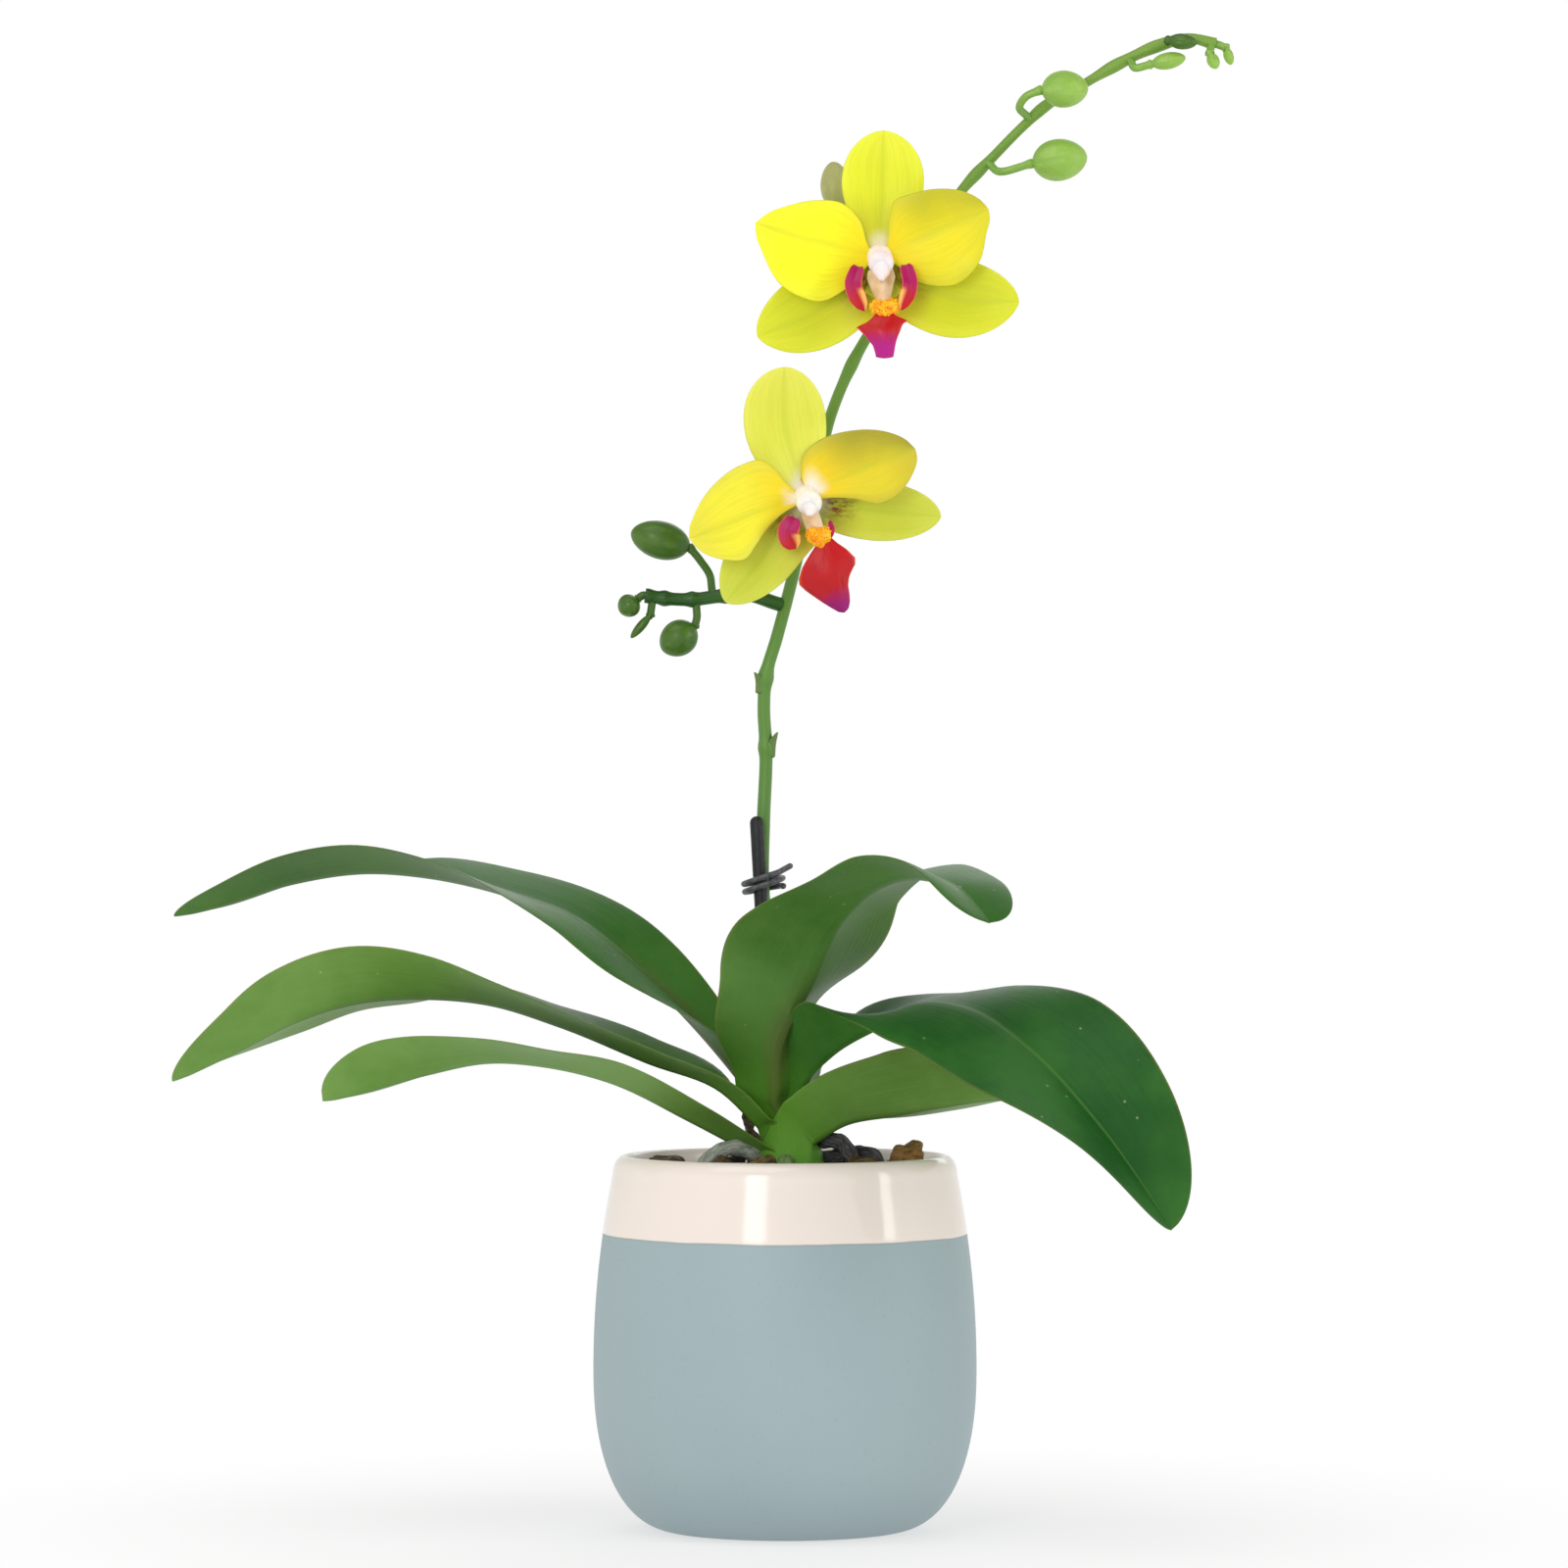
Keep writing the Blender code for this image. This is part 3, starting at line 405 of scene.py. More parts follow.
def makeCrumbTree():
    # splinters scattered over the faces that look up
    tree, source, end = newTree("crumbs", Density=60000.0, Size=0.004, Seed=3)
    up = add(tree, "ShaderNodeSeparateXYZ", {0: add(tree, "GeometryNodeInputNormal")})[2]
    block = add(tree, "GeometryNodeMeshCube", {
        "Size": (1.0, 0.6, 0.42), "Vertices X": 3, "Vertices Y": 3, "Vertices Z": 3})
    turn = add(tree, "FunctionNodeRandomValue", {
        0: (-0.5, -0.5, 0.0), 1: (0.5, 0.5, math.tau), "Seed": source["Seed"]}, data_type="FLOAT_VECTOR")
    laid = scatter(tree, source, block, 0.35, 1.15, 11, {"Selection": up.calc("GREATER_THAN", 0.9)},
                   {"Rotation": turn})
    rough = add(tree, "ShaderNodeTexNoise", {"Scale": 420.0, "Detail": 1.0})["Color"]
    shift = add(tree, "ShaderNodeVectorMath", {0: rough, 1: (0.5, 0.5, 0.5)}, operation="SUBTRACT")
    shift = add(tree, "ShaderNodeVectorMath", {0: shift, "Scale": 4.5 * mm}, operation="SCALE")
    crumbs = add(tree, "GeometryNodeSetPosition", {
        "Geometry": add(tree, "GeometryNodeRealizeInstances", {"Geometry": laid}), "Offset": shift})
    return endTree(tree, withSource(tree, source, crumbs), source, end)


def makeWartTree():
    # small round warts over a surface
    tree, source, end = newTree("warts", Density=900000.0, Size=0.0004, Seed=5)
    ball = add(tree, "GeometryNodeMeshIcoSphere", {"Radius": 1.0, "Subdivisions": 2})
    laid = scatter(tree, source, ball, 0.5, 1.2, 2)
    return endTree(tree, withSource(tree, source, laid), source, end)


stemTree = makeStemTree()
turnTree = makeTurnTree()
crumbTree = makeCrumbTree()
wartTree = makeWartTree()


def chain(name, places, radii):
    # a line of points with a thickness at each, for the stem tree
    mesh = bpy.data.meshes.new(name)
    mesh.from_pydata([tuple(p) for p in places], [(i, i + 1) for i in range(len(places) - 1)], [])
    mesh.attributes.new("thickness", "FLOAT", "POINT").data.foreach_set("value", [float(r) for r in radii])
    return mesh


def stem(name, places, radii, material, sides=16, seamDepth=0.0):
    return grow(name, chain(name, places, radii), stemTree, material, Sides=sides, SeamDepth=seamDepth)


print("stage: pot and bark")

potShape = {
    "height": 88, "bellyRadius": 45, "bellyHeight": 38, "footRadius": 25, "taper": 4.6, "wall": 4.4,
    "floor": 5, "lipHeight": 4.5, "lipInside": 1.4, "squareness": 2.3, "glazeLine": 69.6, "glazeStep": 0.12,
}


def lowerWall(height, floor, foot, belly):
    drop = (potShape["bellyHeight"] - height) / (potShape["bellyHeight"] - floor)
    return foot + (belly - foot) * max(0,
                                       1 - drop ** potShape["squareness"]) ** (1 / potShape["squareness"])


def outerRadius(height):
    p = potShape
    if height < p["bellyHeight"]:
        return lowerWall(height, 0, p["footRadius"], p["bellyRadius"])
    rise = (height - p["bellyHeight"]) / (p["height"] - p["lipHeight"] - p["bellyHeight"])
    step = p["glazeStep"] / (1 + math.exp(-(height - p["glazeLine"]) / 0.16))
    return p["bellyRadius"] - p["taper"] * rise ** 2 + step


def innerRadius(height):
    p = potShape
    if height < p["bellyHeight"]:
        return lowerWall(height, p["floor"], p["footRadius"], p["bellyRadius"] - p["wall"])
    return outerRadius(height) - p["wall"]


def potFinish():
    f = Finish("potGlaze", IOR=1.5)
    place = f.place()
    x, y, z = f.add("ShaderNodeSeparateXYZ", {0: place})
    edge = z + (f.noise(place, 60) - 0.5) * 0.0009
    line = potShape["glazeLine"] * mm
    cream = f.within(edge, line - 0.1 * mm, line + 0.2 * mm)
    inside = f.fade((x * x + y * y).calc("SQRT"), 36.8 * mm, 37.8 * mm)
    inside = inside * f.fade(z, 78 * mm, 86 * mm)
    cloud = f.noise(place, 22, 4)
    fine = f.noise(place, 900, 2)
    blue = f.mix(cloud, rgb(148, 167, 171), rgb(158, 175, 178))
    blue = f.mix(f.within(fine, 0.6, 0.75) * 0.25, blue, rgb(132, 152, 158))
    # painted shade: the blue glaze turns darker towards the bottom, where the pot curves under
    blue = f.mix(f.within(z, 0.0, 0.02, 0.35, 0.0), blue, rgb(125, 143, 150))
    blush = f.mix(f.noise(place, 14), rgb(238, 226, 216), rgb(230, 217, 207))
    blush = f.mix(inside, blush, rgb(190, 188, 174))
    color = f.mix(cream, blue, blush)
    # painted shade: a thin darker line just under the cream glaze's edge, the shadow of the glaze ridge
    ridgeShade = f.within(edge, line - 0.5 * mm, line - 0.1 * mm)
    ridgeShade = ridgeShade * f.fade(edge, line - 0.1 * mm, line + 0.3 * mm)
    color = f.mix(ridgeShade * 0.35, color, rgb(150, 140, 132))
    matte = f.within(cloud, 0.3, 0.7, 0.5, 0.6)
    gloss = f.within(cloud, 0.3, 0.7, 0.1, 0.17)
    rough = cream * gloss + (1.0 - cream) * matte
    height = fine * f.within(cream, 0.0, 1.0, 1.0, 0.08) + f.noise(place, 120)
    return f.wear(color, rough, height, 0.12, 0.0003)


def buildPot():
    p = potShape
    wall = [p["bellyHeight"] * (1 - math.cos(math.pi / 2 * i / 40)) for i in range(40)]
    upper = list(np.linspace(p["bellyHeight"], p["height"] - p["lipHeight"], 60))
    base = p["height"] - p["lipHeight"]
    inner = [p["floor"] + (p["bellyHeight"] - p["floor"]) * (1 - math.cos(math.pi / 2 * i / 24))
             for i in range(24)]
    profile = [(0, 1.2), (16, 1.2), (19, 0.9), (21.5, 0.15), (22.5, 0)]     # the foot ring
    profile += [(outerRadius(h), max(h, 0)) for h in wall + upper]
    middle = innerRadius(base) + p["lipInside"]
    for turn in np.linspace(0, 180, 26)[1:-1]:      # the rounded lip
        angle = math.radians(turn)
        reach = p["lipInside"] if turn > 90 else p["wall"] - p["lipInside"]
        profile.append((middle + reach * math.cos(angle), base + p["lipHeight"] * math.sin(angle)))
    profile += [(innerRadius(h), h) for h in reversed(inner + list(np.linspace(p["bellyHeight"], base,
                                                                               20)))]
    profile.append((0, p["floor"]))
    mesh = bpy.data.meshes.new("pot")
    mesh.from_pydata([(r * mm, 0, h * mm) for r, h in profile],
                     [(i, i + 1) for i in range(len(profile) - 1)], [])
    pot = grow("glazedPot", mesh, turnTree, potFinish(), Segments=193, Rings=330)
    claim(pot, "pot_glaze", "pot")


buildPot()


def barkFinish(name, dark, light, moss, scale=1.0):
    f = Finish(name, IOR=1.4)
    place = f.place()
    layers = f.noise(f.stretched(place, (1.0, 0.35, 2.2)), 420 * scale, 6, 0.7)
    patches = f.noise(place, 130 * scale, 3)
    color = f.ramp(layers, (0.3, dark), (0.55, light), (0.75, rgb(160, 128, 88)))
    color = f.mix(f.within(patches, 0.5, 0.72), color, moss)
    color = f.mix(f.within(f.noise(place, 2400, 2), 0.62, 0.72) * 0.5, color, rgb(190, 175, 150))
    return f.wear(color, f.within(patches, 0.3, 0.7, 0.95, 0.5), layers, 0.8, 0.0006)


barkWorn = barkFinish("barkWorn", rgb(34, 24, 16), rgb(92, 66, 40), rgb(70, 74, 38))
barkGolden = barkFinish("barkGolden", rgb(70, 48, 22), rgb(150, 112, 58), rgb(105, 110, 60))
barkBlack = barkFinish("barkBlack", rgb(18, 18, 20), rgb(52, 50, 50), rgb(80, 80, 84))

medium = {"density": 120000.0, "crumb": 0.0052, "seed": 3}
bed = grow("barkBed", nodeCopy("potting_medium"), crumbTree, barkWorn,
           Density=medium["density"], Size=medium["crumb"], Seed=medium["seed"])
claim(bed, "bark_mix", "potting_medium")


def buildChips():
    # larger pieces of bark: a worn shape made from each plain block
    looks = {2: barkGolden, 3: barkGolden, 7: barkBlack, 6: barkBlack}
    for number in range(1, 9):
        mesh = nodeCopy(f"bark_chip_{number}")
        bm = bmesh.new()
        bm.from_mesh(mesh)
        bmesh.ops.subdivide_edges(bm, edges=bm.edges, cuts=4, use_grid_fill=True, smooth=0.35)
        bmesh.ops.triangulate(bm, faces=bm.faces)
        for _ in range(6):
            bmesh.ops.smooth_vert(bm, verts=bm.verts, factor=0.5, use_axis_x=True, use_axis_y=True,
                                  use_axis_z=True)
        bm.normal_update()
        for vert in bm.verts:
            at = vert.co * 420 + Vector((number * 7, 0, 0))
            ridge = noise.fractal(Vector((at.x, at.y * 0.35, at.z * 2)), 1.0, 2.0, 4)
            lump = noise.noise(vert.co * 190 + Vector((0, number * 5, 0)))
            vert.co += vert.normal * (ridge * 0.5 + lump * 1.6 - 0.3) * mm
        bm.to_mesh(mesh)
        bm.free()
        mesh.shade_smooth()
        chip = newObject(f"barkPiece{number}", mesh, looks.get(number, barkWorn))
        claim(chip, "bark", f"bark_chip_{number}")


buildChips()

print("stage: blades")


def bladeWidth(at, base, widest, tip):
    if at <= widest:
        return base + (1 - base) * math.sin(math.pi / 2 * at / widest) ** 1.3
    return max(0.0, 1 - ((at - widest) / (1 - widest)) ** 2.2) ** tip


def blade(name, stations, material, halfWidth=1.0, shape=None, outline=None, rows=60, cells=24,
          thickness=1.2, face=(0, 0, 1), arch=0.12, keel=0.0, waves=(), curl=0.0, soften=0.06,
          sheath=None, flip=False, thickEdge=0.5):
    # a leaf or petal as two skins that meet at the margin. A station is the midrib's place, in
    # metres, then how far the left and right halves rise, in degrees
    halves = shape if shape and isinstance(shape[0], tuple) else (shape, shape)
    fractions = 1 - (1 - evenly(rows)) ** 1.35
    values = smoothPath(stations, fractions)
    tangents = np.gradient(values[:, :3], axis=0)
    spots = np.linspace(-1, 1, cells + 1)
    spots = spots * (1.4 - 0.4 * spots ** 2)
    grid = []
    for fraction, value, tangent in zip(fractions, values, tangents):
        along = tangent / np.linalg.norm(tangent)
        right = np.cross(along, face)
        right /= np.linalg.norm(right)
        up = np.cross(right, along)
        if outline:
            left, rightWidth = (np.interp(fraction, outline[0], side) for side in outline[1:])
        else:
            left, rightWidth = (halfWidth * bladeWidth(fraction, *half) for half in halves)
        line = []
        for spot in spots:
            share = abs(spot)
            rise = math.radians(value[4] if spot > 0 else value[3])
            width = (rightWidth if spot > 0 else left) * mm
            bend = (math.sqrt(share ** 2 + soften ** 2) - soften) / (math.sqrt(1 + soften ** 2) - soften)
            lift = bend * math.sin(rise) + arch * (share - share ** 2) - curl * share ** 5
            for amount, count, phase in waves:
                lift += amount / max(halfWidth, 1) * share ** 2 * math.sin(
                    math.tau * (count * fraction + phase + (0.5 if spot > 0 else 0)))
            line.append(value[:3] + width * (spot * math.cos(rise) * right + lift * up))
        grid.append(line)
    grid = np.array(grid)
    stops = list(fractions)
    if sheath:
        # the leaf's foot wraps the crown: angle, half wrap, radius, bottom, top and margin rise
        angle, wrap, radius, bottom, top, slope = sheath
        steps = 20
        lines = []
        for step in range(steps):
            t = step / steps
            ease = t ** 2.4
            line = []
            for spot, target in zip(spots, grid[0]):
                height = bottom + (top - bottom) * t + slope * spot * spot * t
                wall = roundCrown(angle - spot * wrap * (1 - 0.45 * t * t), radius, height)
                line.append((1 - ease) * np.array(wall) + ease * target)
            lines.append(line)
        grid = np.concatenate([np.array(lines), grid])
        stops = [-0.14 * (1 - step / steps) for step in range(steps)] + stops
    # skins
    alongs = np.gradient(grid, axis=0)
    rights = np.gradient(grid, axis=1)
    normals = np.cross(rights, alongs)
    lengths = np.linalg.norm(normals, axis=2, keepdims=True)
    normals = np.where(lengths > 1e-14, normals / np.maximum(lengths, 1e-14), 0)
    fade = np.sqrt(np.clip(1 - np.abs(spots) ** 6, 0, 1))
    ends = np.array([min(1, (1 - s) / 0.03) ** 0.5 * min(1, (s - stops[0]) / 0.02) for s in stops])
    depth = thickness * mm * (thickEdge + (1 - thickEdge) * np.exp(-(spots / 0.4) ** 2)) * fade
    rib = keel * mm * np.exp(-(spots / 0.07) ** 2)
    top = grid + normals * (ends[:, None] * depth)[..., None] * 0.5
    taper = np.clip(1 - np.array(stops), 0, 1) ** 0.7
    low = grid - normals * (ends[:, None] * (depth + rib * taper[:, None]))[..., None] * 0.5
    count = cells + 1
    size = len(grid) * count
    points = np.concatenate([top.reshape(-1, 3), low.reshape(-1, 3)])
    faces = []
    for i in range(len(grid) - 1):
        for j in range(cells):
            a, b, c, d = i * count + j, i * count + j + 1, (i + 1) * count + j + 1, (i + 1) * count + j
            faces.append((a, b, c, d))
            faces.append((size + d, size + c, size + b, size + a))
    mesh = bpy.data.meshes.new(name)
    mesh.from_pydata(points.tolist(), [], faces)
    first = stops[0]
    side = (spots + 1) / 2
    if flip:
        side = 1 - side
    spread = [(s, (stop - first) / (1 - first)) for stop in stops for s in side] * 2
    layer = mesh.uv_layers.new(name="UVMap")
    layer.data.foreach_set("uv", [c for loop in mesh.loops for c in spread[loop.vertex_index]])
    under = mesh.attributes.new("underside", "FLOAT", "FACE")
    under.data.foreach_set("value", [float(i % 2) for i in range(len(faces))])
    bm = bmesh.new()
    bm.from_mesh(mesh)
    bmesh.ops.remove_doubles(bm, verts=bm.verts, dist=0.003 * mm)
    bmesh.ops.dissolve_degenerate(bm, edges=bm.edges, dist=0.001 * mm)
    bm.to_mesh(mesh)
    bm.free()
    mesh.shade_smooth()
    return newObject(name, mesh, material)


def leafFinish(name, dark, bright, pale, palest, stain=0.0):
    f = Finish(name, IOR=1.4, Specular_IOR_Level=0.22, Subsurface_Weight=0.08, Subsurface_Scale=0.002)
    place = f.place()
    u, v, off = f.across()
    under = f.value("underside")
    veins = f.streaks(u * 46.0, v * 1.6, 3, 0.6)
    full = f.fade(v, 0.78, 0.95)      # the veins fade before the tip
    patch = f.noise(place, 38, 4, 0.6)
    top = f.mix(f.within(patch, 0.3, 0.7), dark, bright)
    top = f.mix(f.within(v, 0.1, 0.3, 0.9, 0.0), top, rgb(98, 158, 42))
    low = f.mix(f.within(patch, 0.3, 0.7), pale, palest)
    low = f.mix(f.within(v, 0.08, 0.28, 0.85, 0.0), low, rgb(98, 158, 44))
    color = f.mix(under, top, low)
    color = f.mix(f.within(veins, 0.42, 0.62) * (full * 0.2), color, f.mix(under, bright, palest))
    color = f.mix(f.fade(off, 0.0, 0.05) * 0.5, color, rgb(92, 132, 60))
    # olive-brown along the midrib towards the blade's foot
    if stain:
        brown = f.fade(off, 0.0, 0.35) * f.within(v, 0.45, 0.25)
        color = f.mix(brown * stain, color, rgb(92, 84, 48))
    color = f.mix(f.within(off, 0.965, 0.995) * 0.35, color, rgb(116, 126, 70))
    dots = f.fade(f.cells(place, 260), 0.06, 0.1)
    some = f.within(f.noise(place, 90), 0.55, 0.62)
    color = f.mix(dots * some * 0.35, color, rgb(196, 206, 170))
    fine = f.noise(place, 1500, 2)
    wrinkle = f.streaks(u * 5.0, v * 34.0, 2)
    height = veins * full + fine * 0.25 + wrinkle * (f.within(v, 0.5, 0.8, 0.15, 0.6) * full)
    rough = f.within(patch, 0.3, 0.7, 0.38, 0.5)
    return f.wear(color, rough, height, 0.22, 0.0005)


leafDeep = leafFinish("leafDeep", rgb(44, 92, 28), rgb(60, 110, 38), rgb(66, 110, 42), rgb(82, 126, 54),
                      0.55)
# for the leaves whose undersides show: the pale underside is partly the leaf's own paler green and partly
# painted light bounced up from below
leafMid = leafFinish("leafMid", rgb(54, 98, 34), rgb(70, 116, 44), rgb(94, 136, 54), rgb(112, 152, 74))
# a darker copy of the leaf finish, its underside most of all: painted shade from the leaf above it
leafBlue = leafFinish("leafBlue", rgb(30, 84, 30), rgb(50, 106, 40), rgb(46, 96, 34), rgb(62, 114, 42))

# stations: x, y, z of the midrib, then how far the left and right halves rise.
# sheath: angle round the crown, half wrap, radius, bottom, top, how far its margins climb
leaves = {
    "leaf_upper_left": {
        "half": 17.5, "shape": (0.38, 0.55, 0.66), "look": leafDeep,
        "waves": ((0.5, 1.6, 0.1),), "sheath": (176, 60, 5.4, 6, 14, 2),
        "stations": (
            (-6, 1, 18, 50, 62), (-11, 1.5, 24.6, 42, 58), (-18, 2, 33, 18, 52),
            (-34.6, 4, 49.6, -14, 42), (-51, 6, 62, -10, 23), (-64, 7, 66.8, 0, 18),
            (-85, 8, 71.6, 14, 14), (-99, 9, 72.5, 21, 4), (-116, 10, 70, 27, 0),
            (-133.6, 11, 64.5, 32, -4), (-144.6, 12, 61.8, 34, -4)),
    },
    "leaf_middle_left": {
        "half": 18, "shape": (0.36, 0.66, 0.62), "look": leafMid,
        "waves": ((0.4, 1.3, 0.4),), "sheath": (205, 85, 6.0, 3, 12, 4),
        "stations": (
            (-6, -5, 13.4, 15, 12), (-15, -7, 22, 16, 24), (-31.7, -7, 28.4, 18, 26),
            (-52.8, -7, 37, 14, 14), (-69, -8, 42, 18, 12), (-84, -9, 43.4, 33, -4),
            (-100, -10, 42.3, 46, -8), (-114, -11, 38, 50, -12), (-127, -12, 31.4, 48, -8),
            (-142.8, -14, 23.8, 48, -4)),
    },
    "leaf_lower_left": {
        "half": 15.5, "shape": (0.45, 0.68, 0.43), "look": leafMid,
        "waves": ((0.4, 1.5, 0.7),), "sheath": (195, 85, 6.5, 0.3, 4, 2),
        "stations": (
            (-5, -2, 5.5, 20, 10), (-21.7, -6, 14.6, 24, 12), (-41, -8, 24, 20, 4),
            (-56, -9, 27.6, 15, -4), (-69, -10, 28.5, 22, -6), (-84, -11, 25.6, 40, -6),
            (-98.5, -12, 21.5, 58, -6), (-107.8, -13, 19.2, 62, -4)),
    },
    "leaf_upper_right": {
        "half": 21.5, "shape": ((0.42, 0.42, 0.42), (0.52, 0.38, 0.42)),
        "look": leafDeep, "waves": ((0.5, 1.7, 0.2),), "sheath": (-95, 60, 5.6, 5, 14, 2),
        "stations": (
            (-2.2, -7, 18.4, 38, 38), (-1.5, -12.5, 31, 33, 34), (4.3, -20, 44.6, 23, 26),
            (11.4, -34, 60.2, 18, 14), (20.6, -46, 69.2, 10, 7), (28.8, -54, 71.9, 8, 16),
            (37.5, -62, 70, 6, 18), (45.9, -72, 61.8, 6, 12)),
    },
    "leaf_middle_right": {
        "half": 21.5, "shape": (0.42, 0.64, 0.55), "look": leafBlue,
        "waves": ((0.5, 1.4, 0.55),), "sheath": (-68, 80, 5.6, 3, 12, 5),
        "stations": (
            (2, -3, 12, 36, 50), (4.4, -8, 22.5, 42, 58), (10.7, -18, 30.4, 46, 54),
            (23.5, -32, 38.4, 22, 8), (31.3, -39, 42.5, 6, -20), (41.7, -46, 41.4, 14, -26),
            (55.3, -55, 32.5, 40, -22), (70.5, -64, 16, 58, -4), (86.9, -71, -7.4, 58, 4)),
    },
    "leaf_lower_right": {
        "half": 16.5, "shape": ((0.5, 0.6, 0.5), (0.84, 0.6, 0.5)),
        "look": leafMid, "waves": ((0.4, 1.2, 0.3),), "sheath": (-58, 100, 8.2, 0.3, 9, 7),
        "stations": (
            (6, -4.5, 9, 15, 60), (13.5, -4.5, 13.6, 0, 62), (26, -4.5, 16, -6, 68),
            (37, -6, 18, -6, 60), (50, -9, 19.8, -4, 47), (63, -12, 19, -4, 40),
            (76, -14, 16, -4, 40)),
    },
}

for node, leaf in leaves.items():
    rows = [(*plant(*station[:3]), *station[3:]) for station in leaf["stations"]]
    made = blade(camel(node), rows, leaf["look"], leaf["half"], leaf["shape"], rows=84, cells=30,
                 thickness=1.1, keel=0.9, waves=leaf["waves"], sheath=leaf["sheath"])
    claim(made, "leaf_green", node)

print("stage: crown, roots, stake and tie")


def stemFinish(name, low, high, streak, rough=0.42, stripes=16.0, spots=0.0):
    f = Finish(name, IOR=1.42, Subsurface_Weight=0.06, Subsurface_Scale=0.0015)
    place = f.place()
    along, around = f.value("along"), f.value("around")
    color = f.mix(along, low, high)
    lines = f.streaks(around * stripes, along * 5.0, 3)
    patch = f.noise(place, 160, 3)
    color = f.mix(f.within(lines, 0.45, 0.65) * 0.35, color, streak)
    color = f.mix(f.within(patch, 0.5, 0.7) * 0.3, color, f.mix(0.5, streak, low))
    if spots:
        color = f.mix(f.within(f.noise(place, 900, 2), 0.6, 0.7) * spots, color, rgb(96, 70, 40))
    height = lines * 0.8 + f.noise(place, 1800, 2) * 0.4
    return f.wear(color, f.within(patch, 0.3, 0.7, rough - 0.06, rough + 0.08), height, 0.3, 0.0003)


crownGreen = stemFinish("crownGreen", rgb(78, 124, 40), rgb(120, 170, 62), rgb(140, 180, 84))
heights = np.linspace(0.3, 32, 24)
crownGirth = np.interp(heights, (0, 6, 14, 22, 28, 32), (6.2, 5.9, 5.0, 3.8, 2.2, 0.4))
crown = stem("crownCore", [plant(crownX, 0, h) for h in heights], crownGirth * mm, crownGreen, 28)
claim(crown, "crown_green", "crown")


def rootFinish(name, skin, streak, tip):
    f = Finish(name, IOR=1.4)
    place = f.place()
    along, around = f.value("along"), f.value("around")
    lines = f.streaks(around * 14.0, along * 9.0, 4, 0.65)
    color = f.mix(f.within(lines, 0.35, 0.68), skin, streak)
    color = f.mix(f.within(along, 0.0, 0.25, 0.7, 0.0), color, tip)
    color = f.mix(f.within(f.noise(place, 700, 3), 0.58, 0.7) * 0.5, color, rgb(60, 46, 34))
    return f.wear(color, f.within(lines, 0.3, 0.7, 0.55, 0.85), lines, 0.6, 0.0005)


rootLooks = {
    "silver": rootFinish("rootSilver", rgb(128, 134, 122), rgb(176, 182, 170), rgb(110, 140, 80)),
    "green": rootFinish("rootGreen", rgb(92, 122, 66), rgb(128, 150, 96), rgb(96, 136, 60)),
    "brown": rootFinish("rootBrown", rgb(96, 74, 48), rgb(132, 108, 72), rgb(90, 100, 56)),
    "black": rootFinish("rootBlack", rgb(38, 37, 38), rgb(104, 104, 106), rgb(52, 50, 44)),
    "golden": rootFinish("rootGolden", rgb(122, 104, 52), rgb(160, 146, 86), rgb(110, 140, 70)),
}
# a root's finish, then its route: angle round the crown, mm out from the crown's side, height
crownSide = 8.2
rootRadius = 1.9
roots = {
    "root_front_left": ("brown", ((-124, 1.6, 4.6), (-123, 5.5, 3.8), (-122, 9.6, 2), (-119, 14.2, -3))),
    "root_front": ("green", ((-93, 1.7, 4.5), (-94, 4.9, 4), (-88, 9.3, -3))),
    "root_right": ("black", ((22, 2.6, 4), (12, 6.7, 6), (4, 10.8, 6), (-1, 15.2, -3))),
    "root_dark": ("black", ((-8, 2.2, 9.6), (-11, 4.6, 8.6), (-14, 7.1, 5), (-20, 9.7, -3))),
    "root_back_right": ("golden", ((50, 3, 3.6), (46, 9.1, 3.2), (42, 15.9, -3))),
    "root_left": ("silver", ((-153, 4.4, 5), (-153, 8.4, 7.8), (-155, 12.3, 5.6), (-156, 16.3, -3))),
}


def buildRoots():
    rng = random.Random(seed)
    for node, (look, route) in roots.items():
        name = camel(node)
        stops = [roundCrown(angle, crownSide + out, height) for angle, out, height in route]
        core = plant(crownX, 0, (stops[0].z - mediumTop) / mm)
        stops[0] = stops[0].lerp(core, 0.55)        # starts inside the sheaths
        places = smoothPath(stops, evenly(34))
        radii = []
        for i, place in enumerate(places):
            share = np.interp(i / 34, (0, 0.1, 0.4, 0.7, 1), (0.85, 1, 1, 0.95, 0.7))
            ripple = 0.07 * math.sin(i * 1.1 + len(name)) + 0.08 * (rng.random() - 0.5)
            radius = rootRadius * mm * share * (1 + ripple)
            radii.append(radius)
            place[2] = max(place[2], mediumTop + 0.2 * mm + radius * 0.6)
        claim(stem(name, places, radii, rootLooks[look], 20), "root_grey", node)


buildRoots()


def plasticFinish(name, dark, light, rough):
    f = Finish(name, IOR=1.46)
    place = f.place()
    grain = f.noise(place, 700, 3)
    scuff = f.noise(f.stretched(place, (1.0, 1.0, 0.05)), 900, 3)
    color = f.mix(f.within(scuff, 0.4, 0.75), dark, light)
    return f.wear(color, f.within(grain, 0.3, 0.7, rough, rough + 0.15), grain + scuff, 0.2, 0.0002)


stakeShape = {"radius": 1.6, "above": 85.5, "below": 55, "lean": 0.056, "x": -2, "y": 10.1}


def stakePlace(height):
    return plant(stakeShape["x"] - stakeShape["lean"] * height, stakeShape["y"], height)


def buildStake():
    top, radius = stakeShape["above"], stakeShape["radius"]
    turns = [math.pi / 2 * i / 6 for i in range(1, 7)]      # over the rounded end
    heights = list(np.linspace(-stakeShape["below"], top - radius, 40))
    heights += [top - radius * (1 - math.sin(turn)) for turn in turns]
    radii = [radius * mm] * 40 + [radius * mm * max(0.02, math.cos(turn)) for turn in turns]
    black = plasticFinish("stakePlastic", rgb(18, 18, 20), rgb(32, 32, 36), 0.45)
    claim(stem("stakeRod", [stakePlace(h) for h in heights], radii, black, 24), "stake_black", "stake")


buildStake()

